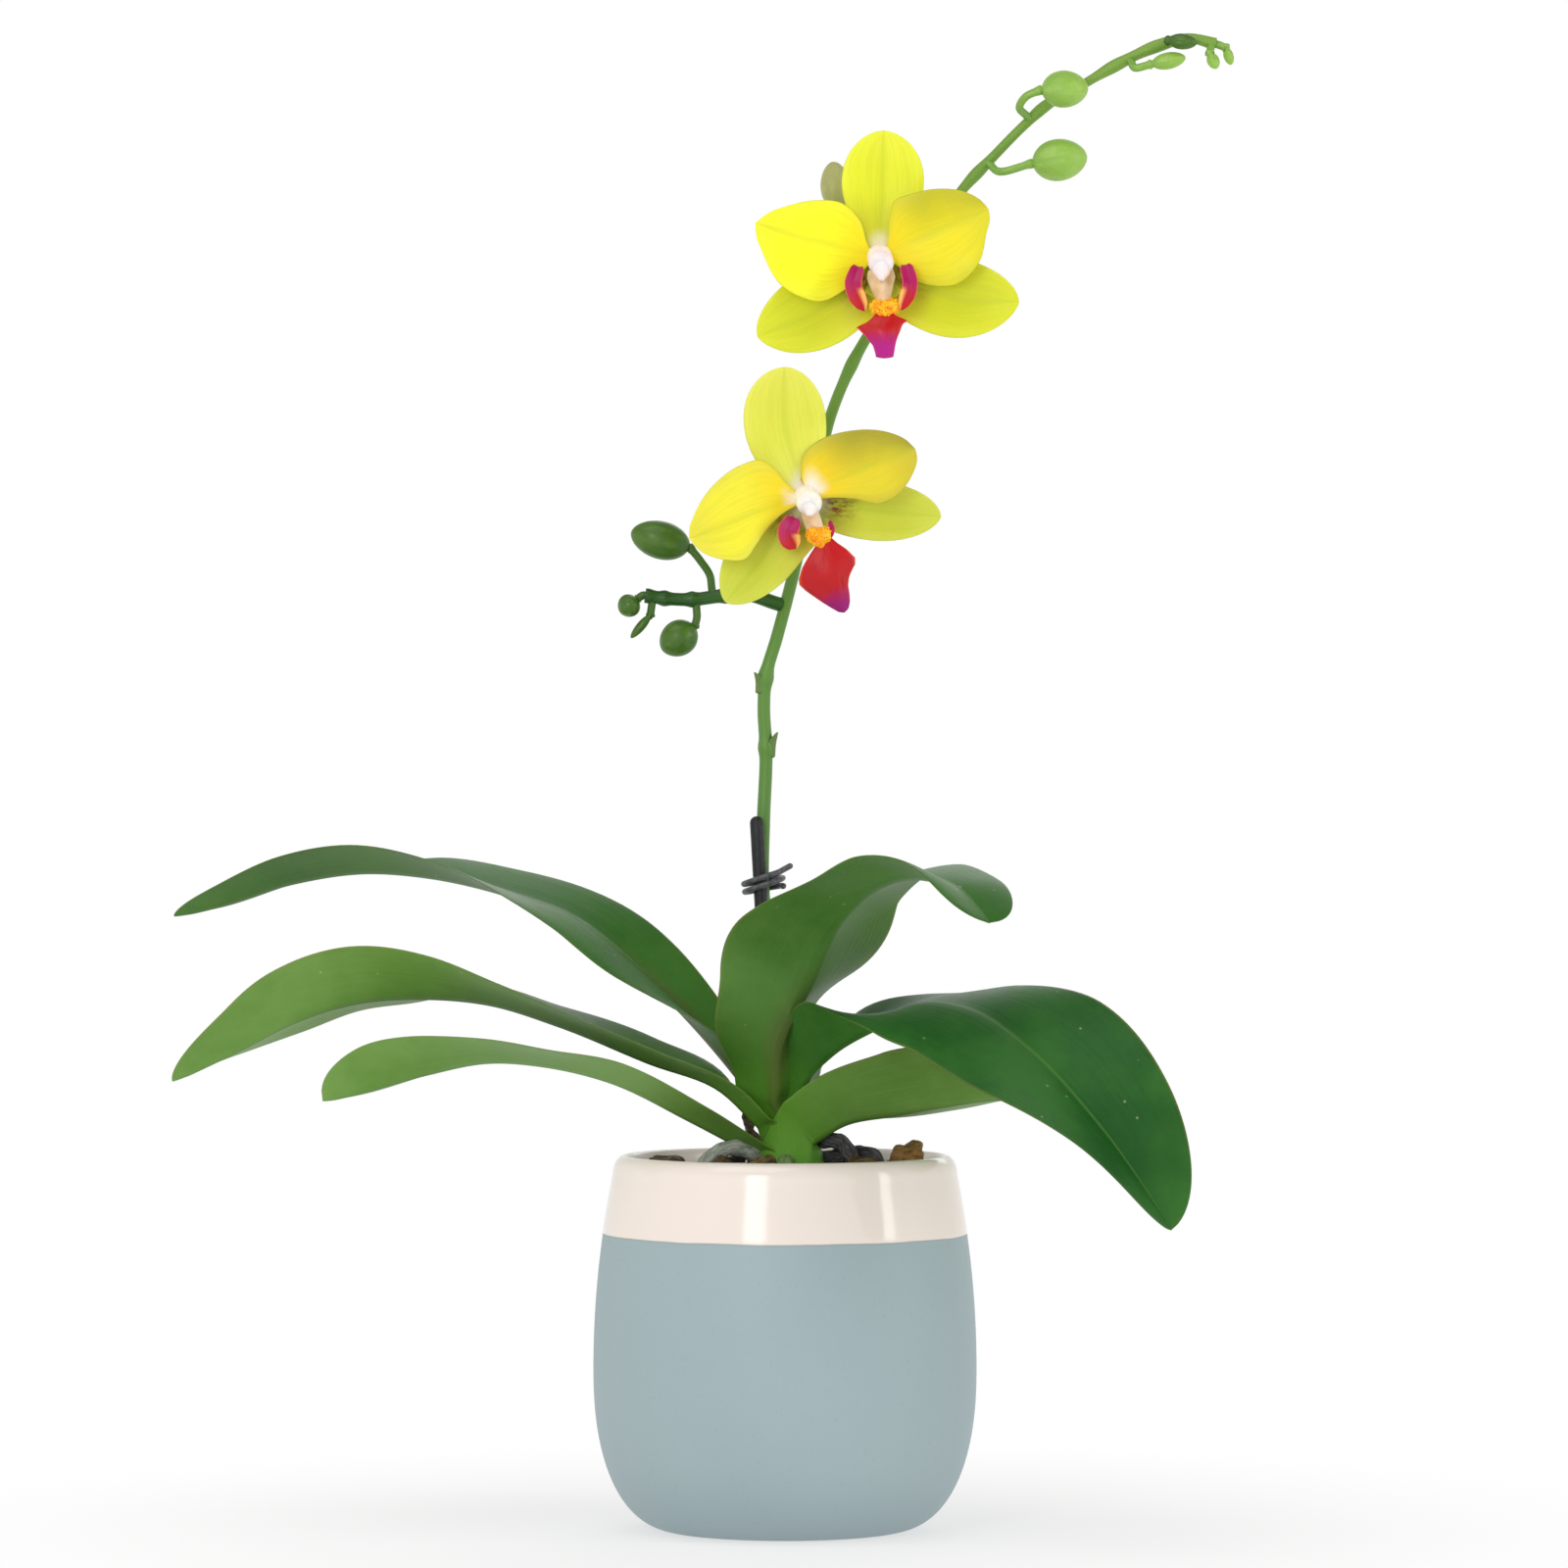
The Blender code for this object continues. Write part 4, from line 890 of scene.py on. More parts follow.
# the spike's midline, from its foot to its drooping tip
spikeRoute = (
    (3.2, -3.7, 12), (1, -1, 30), (-2.6, 0, 48), (-5.3, 0, 68.7), (-5.1, 0, 84), (-4.5, 0, 101.7),
    (-5, -0.3, 111), (-4.6, -0.5, 118.2), (-1.9, -0.9, 127.9), (0.6, -1.2, 137.2),
    (3, -1.6, 147), (6.6, -2.5, 161.5), (11.1, -3.6, 181), (16, -4.4, 192.6), (24, -5.6, 206),
    (32.6, -6.6, 219), (42.5, -8, 234), (49.1, -8.9, 240.9), (55.9, -9.7, 247.8),
    (61.6, -10.3, 252.9), (69, -11, 257), (78.2, -11.8, 262.3), (87.4, -12.6, 266.5),
    (95, -13.2, 268.3), (101.2, -13.5, 266.9))
spikeLine = smoothPath([aloft(*p) for p in spikeRoute], evenly(300))
spikeGirth = np.interp(evenly(300), (0, 1), (1.78, 1.0))


def spikeCentre(height):
    return Vector(spikeLine[int(np.argmin(np.abs(spikeLine[:150, 2] - mediumTop - height * mm)))])


tie = {"height": 69.6, "turns": 2.1, "pitch": 1.9, "wire": 0.7, "tilt": 0.26, "gap": 0.3, "stem": 1.6}


def buildTie():
    middle, turns, wire = tie["height"], tie["turns"], tie["wire"]
    centreX = (stakePlace(middle).x + spikeCentre(middle).x) / 2 + 0.6 * mm
    front = (stakeShape["y"] - stakeShape["radius"] - tie["gap"] - wire) * mm
    back = spikeDepth + (tie["stem"] + tie["gap"] + wire) * mm
    half = (back - front) / 2
    route = []
    steps = 18      # in one turn
    for step in range(2, int(turns * steps) + 1):
        angle = math.tau * step / steps
        out = half * 1.05 * (1 + 0.03 * math.sin(step * 0.9)) * math.cos(angle)
        height = middle + tie["pitch"] * (turns / 2 - step / steps)
        route.append(Vector((centreX + out, (front + back) / 2 - half * math.sin(angle),
                             mediumTop + height * mm + tie["tilt"] * out)))
    freeEnd = [route[0] + Vector(away) * mm for away in ((3.2, 1.4, 1.7), (1.5, 0.8, 0.8))]
    route = freeEnd + route
    places = smoothPath(route, evenly(260))
    radii = np.full(len(places), wire * mm)
    radii[:3] *= (0.3, 0.75, 0.95)
    radii[-3:] *= (0.95, 0.75, 0.3)
    grey = plasticFinish("tiePlastic", rgb(70, 70, 74), rgb(98, 98, 104), 0.38)
    claim(stem("tieWire", places, radii, grey, 14), "tie", "tie_wire")


buildTie()

dryBrown = barkFinish("drySheath", rgb(70, 56, 44), rgb(124, 104, 84), rgb(92, 88, 74), 1.6)
sheath = blade("oldSheath", [(*plant(-8.4, 7.4, 0.5), 30, 30), (*plant(-8.8, 7.8, 9), 30, 30),
                             (*plant(-9.8, 8.2, 16.5), 15, 15)], dryBrown, 3.2, (0.8, 0.4, 0.6), rows=26,
               cells=12, thickness=0.7, face=(1, -0.6, 0), waves=((0.6, 3, 0.2), (0.3, 7, 0.5)),
               thickEdge=0.4)
claim(sheath, "dry_sheath", "dry_sheath")

print("stage: spike, branch and buds")

spikeGreen = stemFinish("spikeGreen", rgb(64, 118, 46), rgb(122, 158, 52), rgb(104, 150, 66), 0.4)
branchGreen = stemFinish("branchGreen", rgb(38, 84, 22), rgb(26, 72, 16), rgb(62, 110, 34), 0.38)
budLight = stemFinish("budLight", rgb(104, 150, 56), rgb(146, 186, 74), rgb(168, 202, 104), 0.42, 9.0)
budDark = stemFinish("budDark", rgb(50, 92, 22), rgb(66, 104, 26), rgb(96, 128, 44), 0.36, 9.0, 0.25)
budOlive = stemFinish("budOlive", rgb(110, 120, 60), rgb(168, 166, 104), rgb(188, 186, 128), 0.45, 9.0)
stalkGreen = stemFinish("stalkGreen", rgb(110, 150, 60), rgb(170, 190, 80), rgb(180, 200, 110), 0.45)


def buildSpike():
    girth = spikeGirth.copy()
    # swollen joints, where a bract or a stalk leaves
    for height, extra, reach in ((101.7, 0.42, 1.6), (118.2, 0.5, 1.9), (192, 0.25, 2.5), (237, 0.3, 2.2),
                                 (252, 0.3, 2.2), (262, 0.45, 2.0), (266.5, 0.5, 1.8)):
        away = (spikeLine[:, 2] - mediumTop) / mm - height
        girth += extra * np.exp(-(away / reach) ** 2)
    claim(stem("flowerSpike", spikeLine, girth * mm, spikeGreen, 20), "spike_green", "flower_spike")


buildSpike()


def sprout(line, girth, aim):
    # the first place of a stalk that leaves a stem square to it, towards the aim
    near = int(np.argmin(np.linalg.norm(line - np.array(aim), axis=1)))
    joint = Vector(line[near])
    out = (aim - joint).normalized()
    return [joint + out * girth[near] * 0.6 * mm, joint + out * (girth[near] + 0.8) * mm]


branchRoute = [aloft(*p) for p in ((-9, -2.6, 137.9), (-15.3, -3.6, 137.5), (-21.8, -4, 136.7),
                                   (-28, -4.6, 136.9), (-33, -5, 137.6))]
branchRoute = sprout(spikeLine, spikeGirth, branchRoute[0]) + branchRoute
branchLine = smoothPath(branchRoute, evenly(90))
branchGirth = np.interp(evenly(90), (0, 1), (1.7, 1.5))
for at, extra in ((0.42, 0.35), (0.66, 0.4), (0.86, 0.4), (0.98, 0.3)):
    branchGirth = branchGirth + extra * np.exp(-((evenly(90) - at) / 0.035) ** 2)
claim(stem("sideBranch", branchLine, branchGirth * mm, branchGreen, 20), "spike_green", "side_branch")

# buds: stem it grows from, stalk route, tip, radius, finish
buds = {
    "spike_bud_behind_flower": ("spike", ((27, -1.5, 215), (20, 0.4, 218), (12.5, 0.4, 229)),
        (11.4, 0.4, 240.5), 3.7, budOlive),
    "spike_bud_low": ("spike", ((50.1, -13.6, 237), (58, -15.6, 238.7)), (70.9, -15.6, 240.4), 5,
        budLight),
    "spike_bud_middle": ("spike", ((55, -15.6, 252), (56.6, -18.6, 254.2), (60, -19.6, 255.6)),
        (71, -19.6, 255.9), 4.4, budLight),
    "spike_bud_small": ("spike", ((82, -15.4, 261.2), (86, -15.6, 262)), (94, -15.6, 263.6), 2, budLight),
    "spike_bud_tiny": ("spike", ((89.8, -17, 267.4),), (96.6, -18, 266.8), 1.9, budDark),
    "spike_bud_end_left": ("spike", ((99.6, -16.2, 264.4),), (101.2, -17.4, 260.8), 1.5, budLight),
    "spike_bud_end_right": ("spikeTip", ((103.6, -13.8, 266),), (104.8, -13.8, 262), 1.2, budLight),
    "branch_bud_large": ("branch", ((-17.6, -4.1, 142), (-20, -4.6, 145.9), (-22.5, -5, 149)),
        (-36.3, -6.6, 152.5), 4.6, budDark),
    "branch_bud_round": ("branch", ((-20.8, -4.6, 132.6), (-21.3, -4.8, 130.4)), (-29, -5.6, 124.6), 4.3,
        budDark),
    "branch_bud_end": ("branchTip", ((-34.8, -5.2, 136.8),), (-38.9, -6, 133.5), 2.8, budDark),
    "branch_bud_narrow": ("branch", ((-31.8, -4.6, 133),), (-36.4, -4.2, 127.6), 1.1, budDark),
}


def buildBuds():
    grown = {"spike": (spikeLine, spikeGirth), "branch": (branchLine, branchGirth)}
    for node, (parent, route, tip, radius, look) in buds.items():
        line, girth = grown[parent.removesuffix("Tip")]
        if parent.endswith("Tip"):
            end = Vector(line[-1])
            start = [Vector(line[-2]), end + (end - Vector(line[-3])).normalized() * 0.4 * mm]
        else:
            start = sprout(line, girth, aloft(*route[0]))
        stalk = smoothPath(start + [aloft(*p) for p in route], evenly(24))
        axis = np.array(aloft(*tip)) - stalk[-1]
        shares = 0.5 - 0.5 * np.cos(math.pi * evenly(26)[1:])
        places = np.concatenate([stalk, [stalk[-1] + axis * s for s in shares]])
        full = [max((4 * s * (1 - s)) ** 0.55 if s < 1 else 0, 0.02) * (1.06 - 0.12 * s) for s in shares]
        radii = [0.95] * 22 + [1.05, 1.15, 1.2]
        radii += [max(radius * r, 0.9 if s < 0.1 else 0.04) for r, s in zip(full, shares)]
        claim(stem(camel(node.removeprefix("spike_")), places, np.array(radii) * mm, look, 36, 0.09),
              "bud_green", node)


buildBuds()


def buildBracts():
    f = stemFinish("bractGreen", rgb(96, 128, 62), rgb(140, 150, 90), rgb(150, 140, 96), 0.6)
    for name, node, height, outward, length in (
            ("bractLower", "spike_bract_lower", 99, (1, -0.3, 0), 6),
            ("bractUpper", "spike_bract_upper", 115, (-1, -0.4, 0), 5)):
        side = Vector(outward).normalized()
        rows = []
        for share, flare, wrap in ((0, -0.35, -44), (0.5, -0.1, -42), (1, 0.7, -20)):
            centre = spikeCentre(height + share * length)
            rows.append((*(centre + side * (2.4 + flare) * mm), wrap, wrap))
        made = blade(name, rows, f, 1.9, (0.8, 0.4, 0.6), rows=20, cells=12, thickness=0.4, face=side)
        claim(made, "spike_green", node)


buildBracts()

print("stage: flowers")

flowers = {
    "upper": {
        "centre": (21.9, -29.6, 215.8), "turn": 0, "nod": 0,
        "dorsal_sepal": ((0.1, 1), (0.8, 15), (1.1, 29.4), 9.8, (0.34, 0.58, 0.56)),
        "left_petal": ((-1.5, 0.5), (-14.9, 3.6), (-28.8, 7.6), 12, (
            ((0, 0.8), (0.06, 3.6), (0.2, 10.1), (0.36, 13.9), (0.5, 14.1), (0.65, 12.9), (0.89, 6),
             (0.97, 2.6), (1, 0)),
            ((0, 0.4), (0.05, 1), (0.19, 7), (0.37, 10), (0.57, 9.3), (0.79, 6.1), (0.92, 3.2), (1, 0)))),
        "right_petal": ((1.5, 0.5), (13.4, 5.8), (25.4, 10.7), 11.9, (
            ((0, 0.5), (0.07, 1.8), (0.19, 7.2), (0.28, 10.3), (0.46, 10.3), (0.69, 8.8), (0.88, 5.7),
             (0.97, 2.6), (1, 0)),
            ((0, 0.8), (0.1, 4.4), (0.16, 8.2), (0.3, 11.6), (0.48, 13.6), (0.76, 10.8), (0.91, 5),
             (0.98, 2.2), (1, 0)))),
        "left_sepal": ((-1, -0.8), (-14.5, -12.4), (-28.3, -18.6), 9.6,
                       ((1.02, 0.42, 0.62), (0.3, 0.52, 0.62))),
        "right_sepal": ((1, -0.6), (17, -9.4), (32.6, -10.5), 9.8, ((0.3, 0.52, 0.62), (0.92, 0.44, 0.62))),
        "head": (0.4, -4.4),
        "calluses": ((-0.5, -12.2, 1.7, 1.7), (1.2, -12.7, 1.7, 2.2), (2.9, -12.1, 1.6, 1.8)),
        "lobes": (
            (((-4.9, -2.6, 4.2), (-6.1, -7, 6.4), (-3.4, -13, 5.6)), (1.2, 1.9, 2.3, 2.3, 1.6, 0.3), False),
            (((6.1, -2.2, 4.2), (7.1, -7, 6.4), (5, -12.8, 5.6)), (1.1, 1.8, 2.1, 2.1, 1.4, 0.3), True)),
        "tongue": ((1.1, -13.2, 6.4), (1.1, -18, 8.6), (1.1, -24.1, 7.2)),
        "tongueOutline": ((0, 0.1, 0.18, 0.24, 0.29, 0.36, 0.5, 0.66, 0.76, 0.9, 0.98, 1),
                          (1.4, 2.9, 5.6, 4.5, 4.2, 4.0, 3.6, 3.0, 2.7, 2.4, 2.2, 0),
                          (1.4, 2.5, 3.4, 4.6, 6.7, 6.0, 5.1, 3.9, 2.8, 2.2, 2.0, 0)),
        "claw": (((0.3, -2.5, 3.2), (0.6, -7.5, 5), (1.1, -11.4, 5.4)), (3.4, 3.9, 2.9, 1.9, 2.0)),
    },
    "lower": {
        "centre": (4.8, -29.6, 159.7), "turn": 14, "nod": 4,
        "dorsal_sepal": ((-0.2, 1), (-4.6, 16), (-5, 30.3), 9.8, (0.5, 0.58, 0.54)),
        "left_petal": ((-1.5, -0.3), (-14.2, -4.7), (-27, -9.8), 10.7, (
            ((0, 1), (0.19, 2), (0.36, 4.3), (0.51, 7.2), (0.65, 9.5), (0.83, 7.5), (0.96, 3.6), (1, 0)),
            ((0, 0.8), (0.1, 4.8), (0.16, 8.9), (0.25, 11.4), (0.43, 11.8), (0.66, 9.7), (0.89, 4.9),
             (0.97, 2.2), (1, 0)))),
        "right_petal": ((1.8, 2), (13.7, 7), (25.6, 11.4), 8.8, (
            ((0, 4), (0.1, 8.6), (0.3, 10.3), (0.57, 9.1), (0.81, 6.2), (0.95, 2.8), (1, 0)),
            ((0, 1.2), (0.19, 3.4), (0.34, 5.8), (0.52, 9.3), (0.72, 8.8), (0.89, 5.7), (0.985, 2.2),
             (1, 0)))),
        "left_sepal": ((-0.7, -1), (-9, -12.4), (-18.6, -24.4), 8, ((1.15, 0.42, 0.6), (0.3, 0.52, 0.62))),
        "right_sepal": ((1, -0.3), (17, -2.9), (31.7, -4), 7.2, ((0.3, 0.52, 0.62), (0.78, 0.45, 0.62))),
        "head": (0.9, -3.3),
        "calluses": ((1.8, -8.8, 1.7, 1.7), (3.1, -9.6, 1.7, 2.1), (4.4, -9.0, 1.5, 2.0)),
        "lobes": (
            (((-2.5, -4.9, 4.4), (-4.1, -8.4, 6.2), (-2.2, -12, 5.2)), (0.7, 2.1, 2.8, 2.8, 1.8, 0.2),
             False),
            (((5.6, -5.4, 4.4), (6.0, -7.8, 5.6), (4.9, -10, 5.2)), (0.2, 0.6, 0.9, 0.9, 0.6, 0.2), True)),
        "tongue": ((4.2, -9.8, 6.2), (5.6, -17, 8.4), (9, -26.8, 7.2)),
        "tongueOutline": ((0, 0.08, 0.18, 0.3, 0.42, 0.5, 0.6, 0.7, 0.8, 0.9, 0.97, 1),
                          (1.8, 3.0, 5.0, 6.6, 6.4, 5.5, 4.1, 3.2, 2.8, 2.2, 1.3, 0),
                          (1.6, 2.4, 4.2, 6.4, 7.9, 8.2, 7.1, 5.6, 4.1, 2.5, 1.3, 0)),
        "claw": (((0.5, -2, 3), (1.6, -5.5, 4.6), (2.6, -8.4, 5)), (1.6, 2.4, 2.4, 2.2, 2.0)),
    },
}
columnRadius = 1.7
sepalOut = (-1.1, -2.0, -0.6)
petalOut = (0.7, 2.4, 3.6)


def flowerPlace(flower, u, v, n):
    lean = -math.tan(math.radians(flower["turn"])) * u + math.tan(math.radians(flower["nod"])) * v
    x, y, z = flower["centre"]
    return aloft(x + u, y - n - lean, z + v)


def margins(left, right, length):
    # both margins of a petal, each through a few pairs: share of the length, then width
    shares = 1 - (1 - evenly(90)) ** 2
    sides = []
    for pairs in (left, right):
        line = smoothPath([(share * length, width) for share, width in pairs], evenly(240))
        sides.append(np.interp(shares, np.maximum.accumulate(line[:, 0]) / length, line[:, 1]))
    return shares, *sides


def petalFinish(name, inner, body, rim, green, star, blotch, shade=None):
    f = Finish(name, IOR=1.38, Subsurface_Weight=0.15, Subsurface_Scale=0.002)
    place = f.place()
    u, v, off = f.across()
    soft = f.noise(place, 90, 4, 0.6)
    reach = v + (soft - 0.5) * 0.14
    # the inner colour towards the foot; on the sepals it is partly their own olive base and partly painted
    # shade near the column
    color = f.mix(f.within(reach, 0.12, 0.5), inner, body)
    color = f.mix(f.within(off.calc("MAXIMUM", v), 0.6, 1.0) * 0.65, color, rim)
    # painted shade: one margin is darkened towards the shade colour, from partway along to the tip
    if shade:
        sideShade = f.fade(u + soft * 0.3, 0.2, 0.75) * f.within(v, 0.15, 0.55)
        color = f.mix(sideShade * 0.75, color, shade)
    veins = f.streaks(u * 30.0, v * 2.0, 3, 0.6)
    color = f.mix(f.within(veins, 0.45, 0.65) * 0.18, color, green)
    rib = f.fade(off, 0.0, 0.16) * f.within(v, 0.05, 0.5, 0.3, 0.75)
    color = f.mix(rib * 0.4, color, green)
    if blotch:
        spots = f.streaks(u * 14.0, v * 16.0, 4, 0.7)
        zone = f.within(v, 0.08, 0.16) * f.fade(v, 0.2, 0.42)
        zone = zone * f.fade(off, 0.1, 0.7)
        color = f.mix(f.within(spots, 0.44, 0.56) * zone * blotch, color, rgb(116, 42, 6))
    if star:
        wide = off * 0.26
        away = (reach * reach + wide * wide).calc("SQRT")
        color = f.mix(f.fade(away, 0.06, 0.23) * star, color, rgb(250, 238, 232))
    color = f.mix(f.value("underside") * 0.35, color, green)
    height = veins + f.noise(place, 2200, 2) * 0.3
    return f.wear(color, f.within(soft, 0.3, 0.7, 0.42, 0.56), height, 0.25, 0.0003)


def lobeFinish(name, top, foot, inner, rim, creases, turnAt=(0.3, 0.8)):
    f = Finish(name, IOR=1.4, Subsurface_Weight=0.1, Subsurface_Scale=0.001)
    place = f.place()
    u, v, off = f.across()
    soft = f.noise(place, 260, 3)
    reach = v + (soft - 0.5) * 0.2
    color = f.mix(f.within(reach, *turnAt), top, foot)
    if inner:
        patch = f.fade(u, 0.12, 0.42) * f.within(v, 0.5, 0.66)
        color = f.mix(patch, color, inner)
    folds = f.streaks(u * 9.0, v * 2.4, 3)
    color = f.mix(f.within(folds, 0.55, 0.7) * creases, color, rgb(104, 0, 8))
    color = f.mix(f.within(off, 0.88, 0.99) * 0.75, color, rim)
    return f.wear(color, f.within(soft, 0.3, 0.7, 0.3, 0.44), folds + soft, 0.35, 0.0004)


def columnFinish(name, main, shade):
    f = Finish(name, IOR=1.4, Subsurface_Weight=0.25, Subsurface_Scale=0.002)
    place = f.place()
    soft = f.noise(place, 300, 3)
    color = f.mix(f.within(soft, 0.35, 0.7), main, shade)
    color = f.mix(f.within(f.noise(place, 1400, 2), 0.6, 0.7) * 0.25, color, rgb(232, 196, 190))
    return f.wear(color, f.within(soft, 0.3, 0.7, 0.34, 0.5), soft, 0.2, 0.0003)


def callusFinish():
    f = Finish("callusGold", IOR=1.42, Subsurface_Weight=0.1, Subsurface_Scale=0.001)
    place = f.place()
    soft = f.noise(place, 500, 3)
    color = f.mix(f.within(soft, 0.35, 0.65), rgb(255, 150, 0), rgb(255, 196, 20))
    dots = f.fade(f.cells(place, 1500), 0.2, 0.34)
    color = f.mix(dots * f.within(f.noise(place, 700), 0.45, 0.55), color, rgb(170, 30, 4))
    return f.wear(color, f.within(soft, 0.3, 0.7, 0.3, 0.45), soft, 0.3, 0.0003)


def budded(name, centre, radii, material, tree=None, around=40, rings=24, **sizes):
    # a ball. Its faces always come in the same order, so that the warts set on it repeat
    places = [(0, 0, -1)]
    for ring in range(1, rings):
        slope = math.pi * ring / rings
        places += [(math.sin(slope) * math.cos(turn), math.sin(slope) * math.sin(turn), -math.cos(slope))
                   for turn in evenly(around)[:-1] * math.tau]
    places.append((0, 0, 1))
    last = len(places) - 1
    faces = []
    for i in range(around):
        j = (i + 1) % around
        faces += [(0, 1 + j, 1 + i), (last, last - around + i, last - around + j)]
        faces += [(low + i, low + j, low + around + j, low + around + i)
                  for low in range(1, last - around, around)]
    mesh = bpy.data.meshes.new(name)
    mesh.from_pydata([Vector(centre) + Vector([c * r * mm for c, r in zip(place, radii)])
                      for place in places], [], faces)
    if tree:
        return grow(name, mesh, tree, material, **sizes)
    mesh.shade_smooth()
    return newObject(name, mesh, material)


def joined(name, objects):
    # several shapes as one piece
    bm = bmesh.new()
    materials = []
    for obj in objects:
        for material in obj.data.materials:
            if material and material not in materials:
                materials.append(material)
        start = len(bm.faces)
        bm.from_mesh(obj.data)
        bm.faces.ensure_lookup_table()
        for face in bm.faces[start:]:
            face.material_index = materials.index(obj.data.materials[face.material_index])
            face.smooth = True
    mesh = bpy.data.meshes.new(name)
    bm.to_mesh(mesh)
    bm.free()
    for obj in objects:
        bpy.data.objects.remove(obj, do_unlink=True)
    made = newObject(name, mesh)
    for material in materials:
        mesh.materials.append(material)
    return made


# petals: finish of the inner part, the body and the rim, how strong the pale star and the brown
# blotches are, and a painted shade colour for one margin towards the tip
petalLooks = {
    "upper": {
        "left_petal": ((244, 222, 4), (250, 246, 26), (234, 230, 44), 0.0, 0.0, None),
        # right petal: a darker copy of the petal colours, body and rim, as painted shade
        "right_petal": ((238, 216, 4), (232, 218, 12), (206, 202, 42), 0.0, 0.0, (176, 176, 28)),
        "dorsal_sepal": ((206, 208, 40), (222, 228, 34), (232, 234, 60), 0.7, 0.0, None),
        # sepals: the dark olive inner colour is partly their own and partly painted shade near the column
        "sepal": ((150, 148, 8), (206, 214, 28), (216, 222, 46), 0.0, 0.8, None),
    },
    "lower": {
        "left_petal": ((244, 214, 14), (240, 230, 50), (220, 212, 70), 1.0, 0.0, None),
        # right petal: a darker copy of the petal colours, body and rim, as painted shade
        "right_petal": ((240, 206, 10), (222, 204, 34), (188, 180, 52), 1.0, 0.0, (142, 142, 36)),
        "dorsal_sepal": ((222, 226, 90), (216, 220, 70), (224, 224, 90), 1.0, 0.0, None),
        # sepals: the dark olive inner colour is partly their own and partly painted shade near the column
        "sepal": ((146, 150, 16), (198, 208, 58), (206, 216, 80), 0.3, 1.0, None),
    },
}
lobe = lobeFinish("lipLobe", rgb(172, 0, 88), rgb(190, 0, 22), rgb(255, 190, 100), rgb(236, 120, 50), 0.2)
tongues = {
    "upper": lobeFinish("lipTongueUpper", rgb(184, 2, 8), rgb(180, 8, 130), None, rgb(224, 74, 50), 0.4,
                        (0.35, 0.8)),
    "lower": lobeFinish("lipTongueLower", rgb(186, 0, 10), rgb(150, 0, 110), None, rgb(222, 84, 28), 0.7,
                        (0.62, 0.92)),
}
white = {"upper": columnFinish("columnUpper", rgb(250, 232, 232), rgb(240, 216, 214)),
         "lower": columnFinish("columnLower", rgb(250, 240, 226), rgb(244, 226, 224))}
beige = columnFinish("clawBeige", rgb(242, 216, 178), rgb(224, 190, 136))
gold = callusFinish()
facing = (0, -1, 0)


def flowerRows(flower, spots, rises):
    # a blade's stations from places on the flower
    return [(*flowerPlace(flower, *spot), rise, rise) for spot, rise in zip(spots, rises)]


def buildPetals(key, flower):
    rng = random.Random(seed + len(key))
    looks = {part: petalFinish(part + key.title(), *(rgb(*tone) for tone in tones), rgb(176, 190, 30), star,
                               blotch, sideShade and rgb(*sideShade))
             for part, (*tones, star, blotch, sideShade) in petalLooks[key].items()}
    for part in ("dorsal_sepal", "left_sepal", "right_sepal", "left_petal", "right_petal"):
        side, middle, tip, half, shape = flower[part]
        out = petalOut if "petal" in part else sepalOut
        reach = (columnRadius + 0.3) / math.hypot(*side)
        base = (side[0] * reach * 0.4, side[1] * reach * 0.4)
        spots = [(*spot, n) for spot, n in zip((base, middle, tip), out)]
        outline = None
        if isinstance(shape[0], tuple) and isinstance(shape[0][0], tuple):
            outline = margins(*shape, math.dist(base, tip))
        node = f"{key}_flower_{part}"
        rows = flowerRows(flower, spots, (8, 12, 12))
        made = blade(camel(node), rows, looks.get(part, looks["sepal"]), half, shape, outline=outline,
                     rows=54, cells=26, thickness=0.7, face=facing, arch=0.06, curl=0.05, keel=0.3,
                     soften=0.15, waves=((0.35, 1.3, rng.random()), (0.14, 3.1, rng.random())))
        claim(made, "petal_yellow" if "petal" in part else "sepal_lime", node)


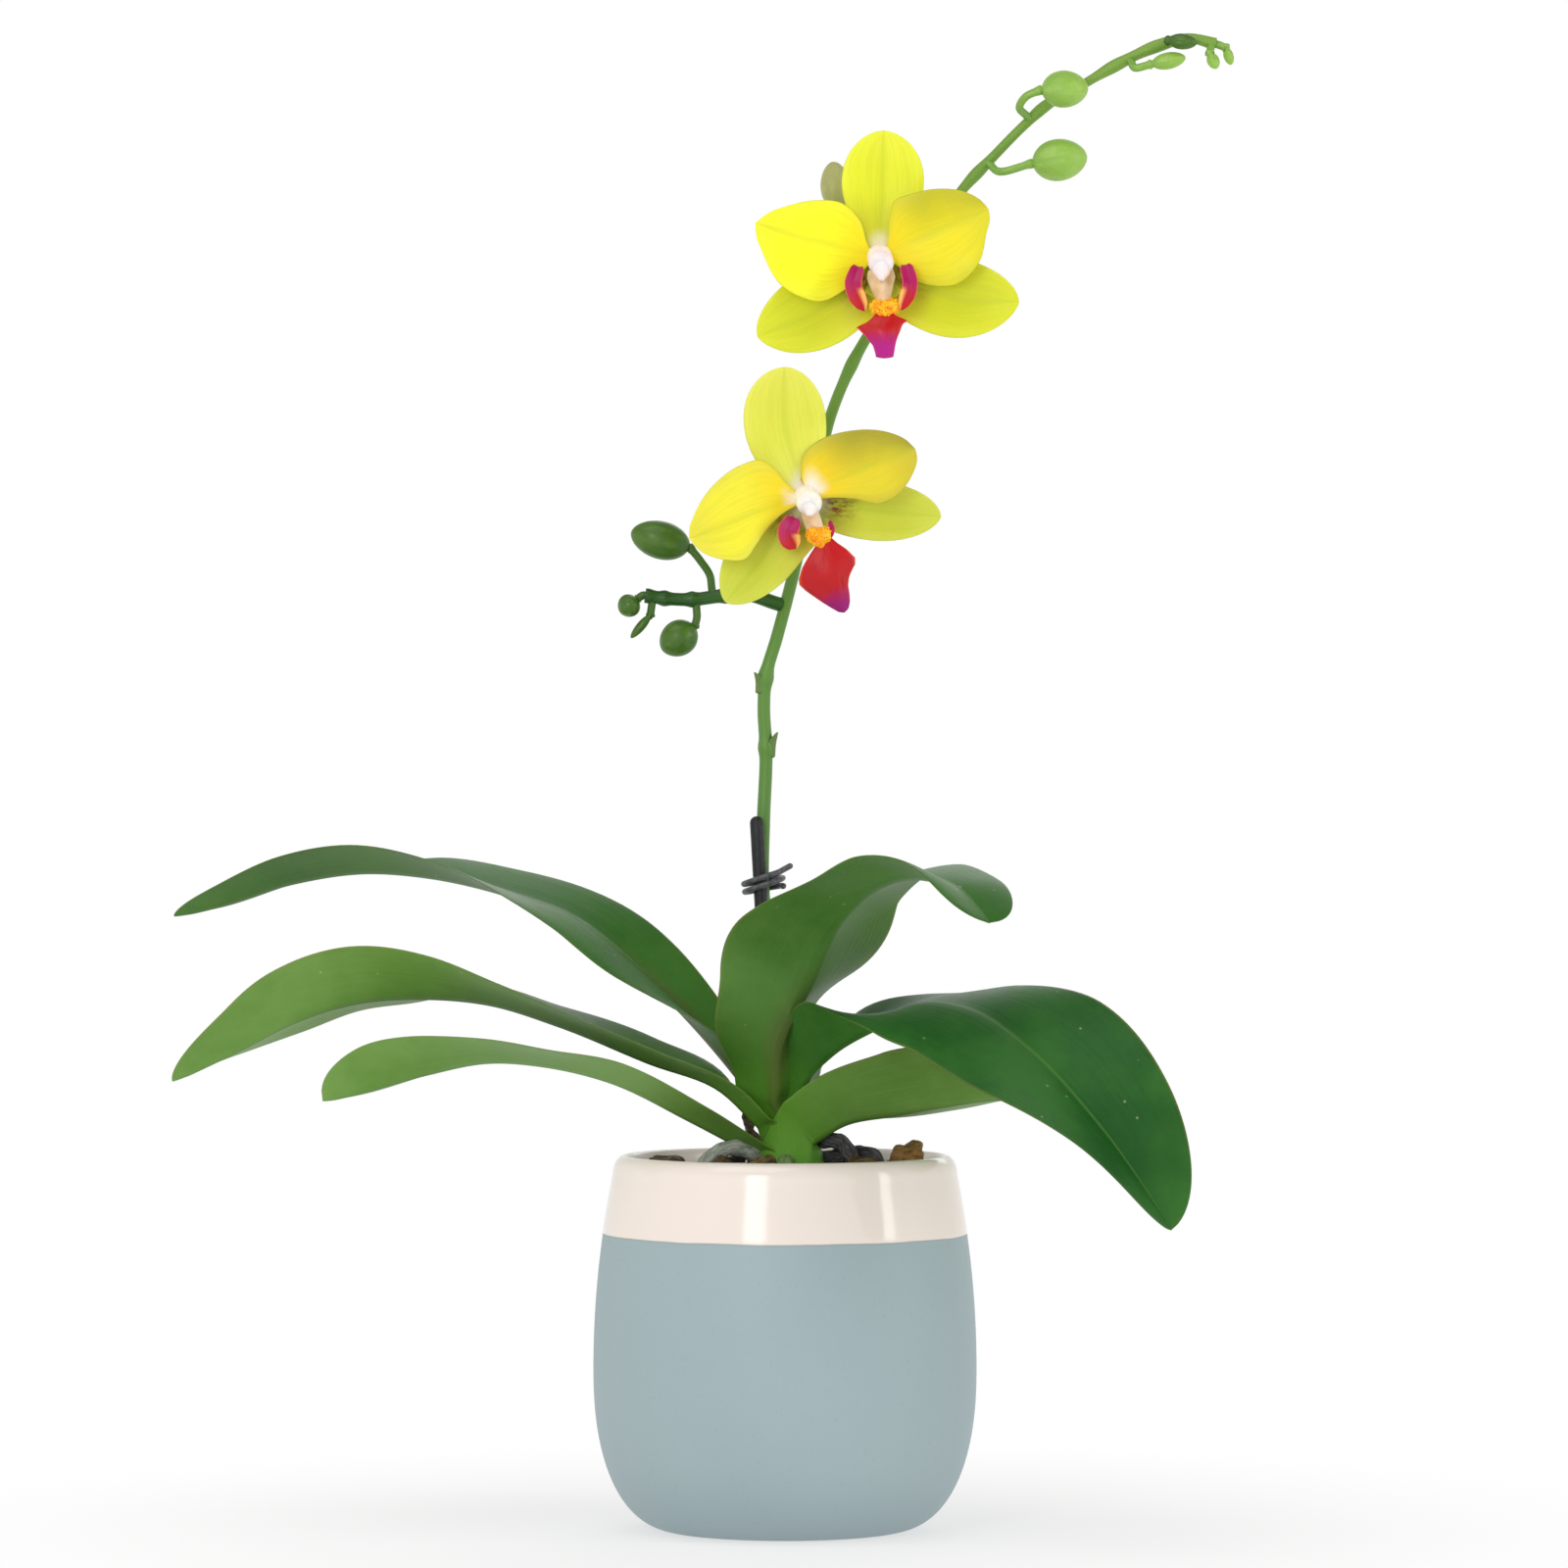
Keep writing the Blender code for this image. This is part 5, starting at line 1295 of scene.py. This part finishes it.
def buildLip(key, flower):
    # two raised side lobes, a tongue, a claw, and a warty callus as a piece of its own
    shapes = []
    for number, (route, widths, flip) in enumerate(flower["lobes"]):
        stops = (0, 0.1, 0.4, 0.7, 0.88, 1)
        shapes.append(blade(f"lobe{number}", flowerRows(flower, route, (25, 30, 20)), lobe,
                            outline=(stops, widths, widths), rows=34, cells=16, thickness=0.7,
                            face=facing, arch=0.2, flip=flip, soften=0.3))
    shapes.append(blade("tongue", flowerRows(flower, flower["tongue"], (5, -18, -14)), tongues[key],
                        outline=flower["tongueOutline"], rows=48, cells=22, thickness=0.8, face=facing,
                        keel=0.4, soften=0.2))
    route, widths = flower["claw"]
    shapes.append(blade("claw", flowerRows(flower, route, (-30, -30, -20)), beige,
                        outline=((0, 0.2, 0.6, 0.85, 1), widths, widths), rows=24, cells=14,
                        thickness=1.0, face=facing, soften=0.3))
    claim(joined(f"{key}FlowerLip", shapes), "lip_red", f"{key}_flower_lip")
    warts = [budded("wart", flowerPlace(flower, u, v, 6.2), (wide, 1.7, tall), gold, wartTree,
                    Density=2200000.0, Size=0.00036, Seed=number)
             for number, (u, v, wide, tall) in enumerate(flower["calluses"])]
    claim(joined(f"{key}FlowerCallus", warts), "lip_red", f"{key}_flower_lip")


def buildColumn(key, flower):
    # a neck that swells to a hooded head with a small beak. A stop is a place and a girth
    u, v = flower["head"]
    stops = ((0, 0.2, -1.9, 1.1), (0, 0.2, 0.6, 1.4), (u * 0.3, v * 0.08, 2.6, 1.7),
             (u * 0.6, v * 0.3, 4.4, 1.75), (u * 0.9, v * 0.65, 5.8, 1.55), (u, v * 0.95, 6.8, 1.4),
             (u, v * 1.2, 7.3, 1.15), (u, v * 1.36, 7.5, 0.4))
    line = smoothPath([flowerPlace(flower, *stop[:3]) for stop in stops], evenly(40))
    girth = np.interp(evenly(40), np.linspace(0, 1, len(stops)), [stop[3] for stop in stops])
    neck = stem("neck", line, girth * columnRadius * mm, white[key], 28)
    cap = budded("cap", flowerPlace(flower, u * 0.9, v * 0.42, 6.0), (3.0, 1.7, 2.9), white[key])
    claim(joined(f"{key}FlowerColumn", [neck, cap]), "column_white", f"{key}_flower_column")


def buildStalk(key, flower):
    route = sprout(spikeLine, spikeGirth, flowerPlace(flower, 0, -1, -9.9))
    route += [flowerPlace(flower, 0, 0, -5.9), flowerPlace(flower, 0, 0, -1.6)]
    line = smoothPath(route, evenly(40))
    girth = np.interp(evenly(40), (0, 0.5, 1), (1.0, 1.15, 1.6))
    claim(stem(f"{key}FlowerStalk", line, girth * mm, stalkGreen, 18), "stalk_green", f"{key}_flower_stalk")


def buildFlowers():
    for key, flower in flowers.items():
        for build in (buildPetals, buildLip, buildColumn, buildStalk):
            build(key, flower)


buildFlowers()

print("stage: done")
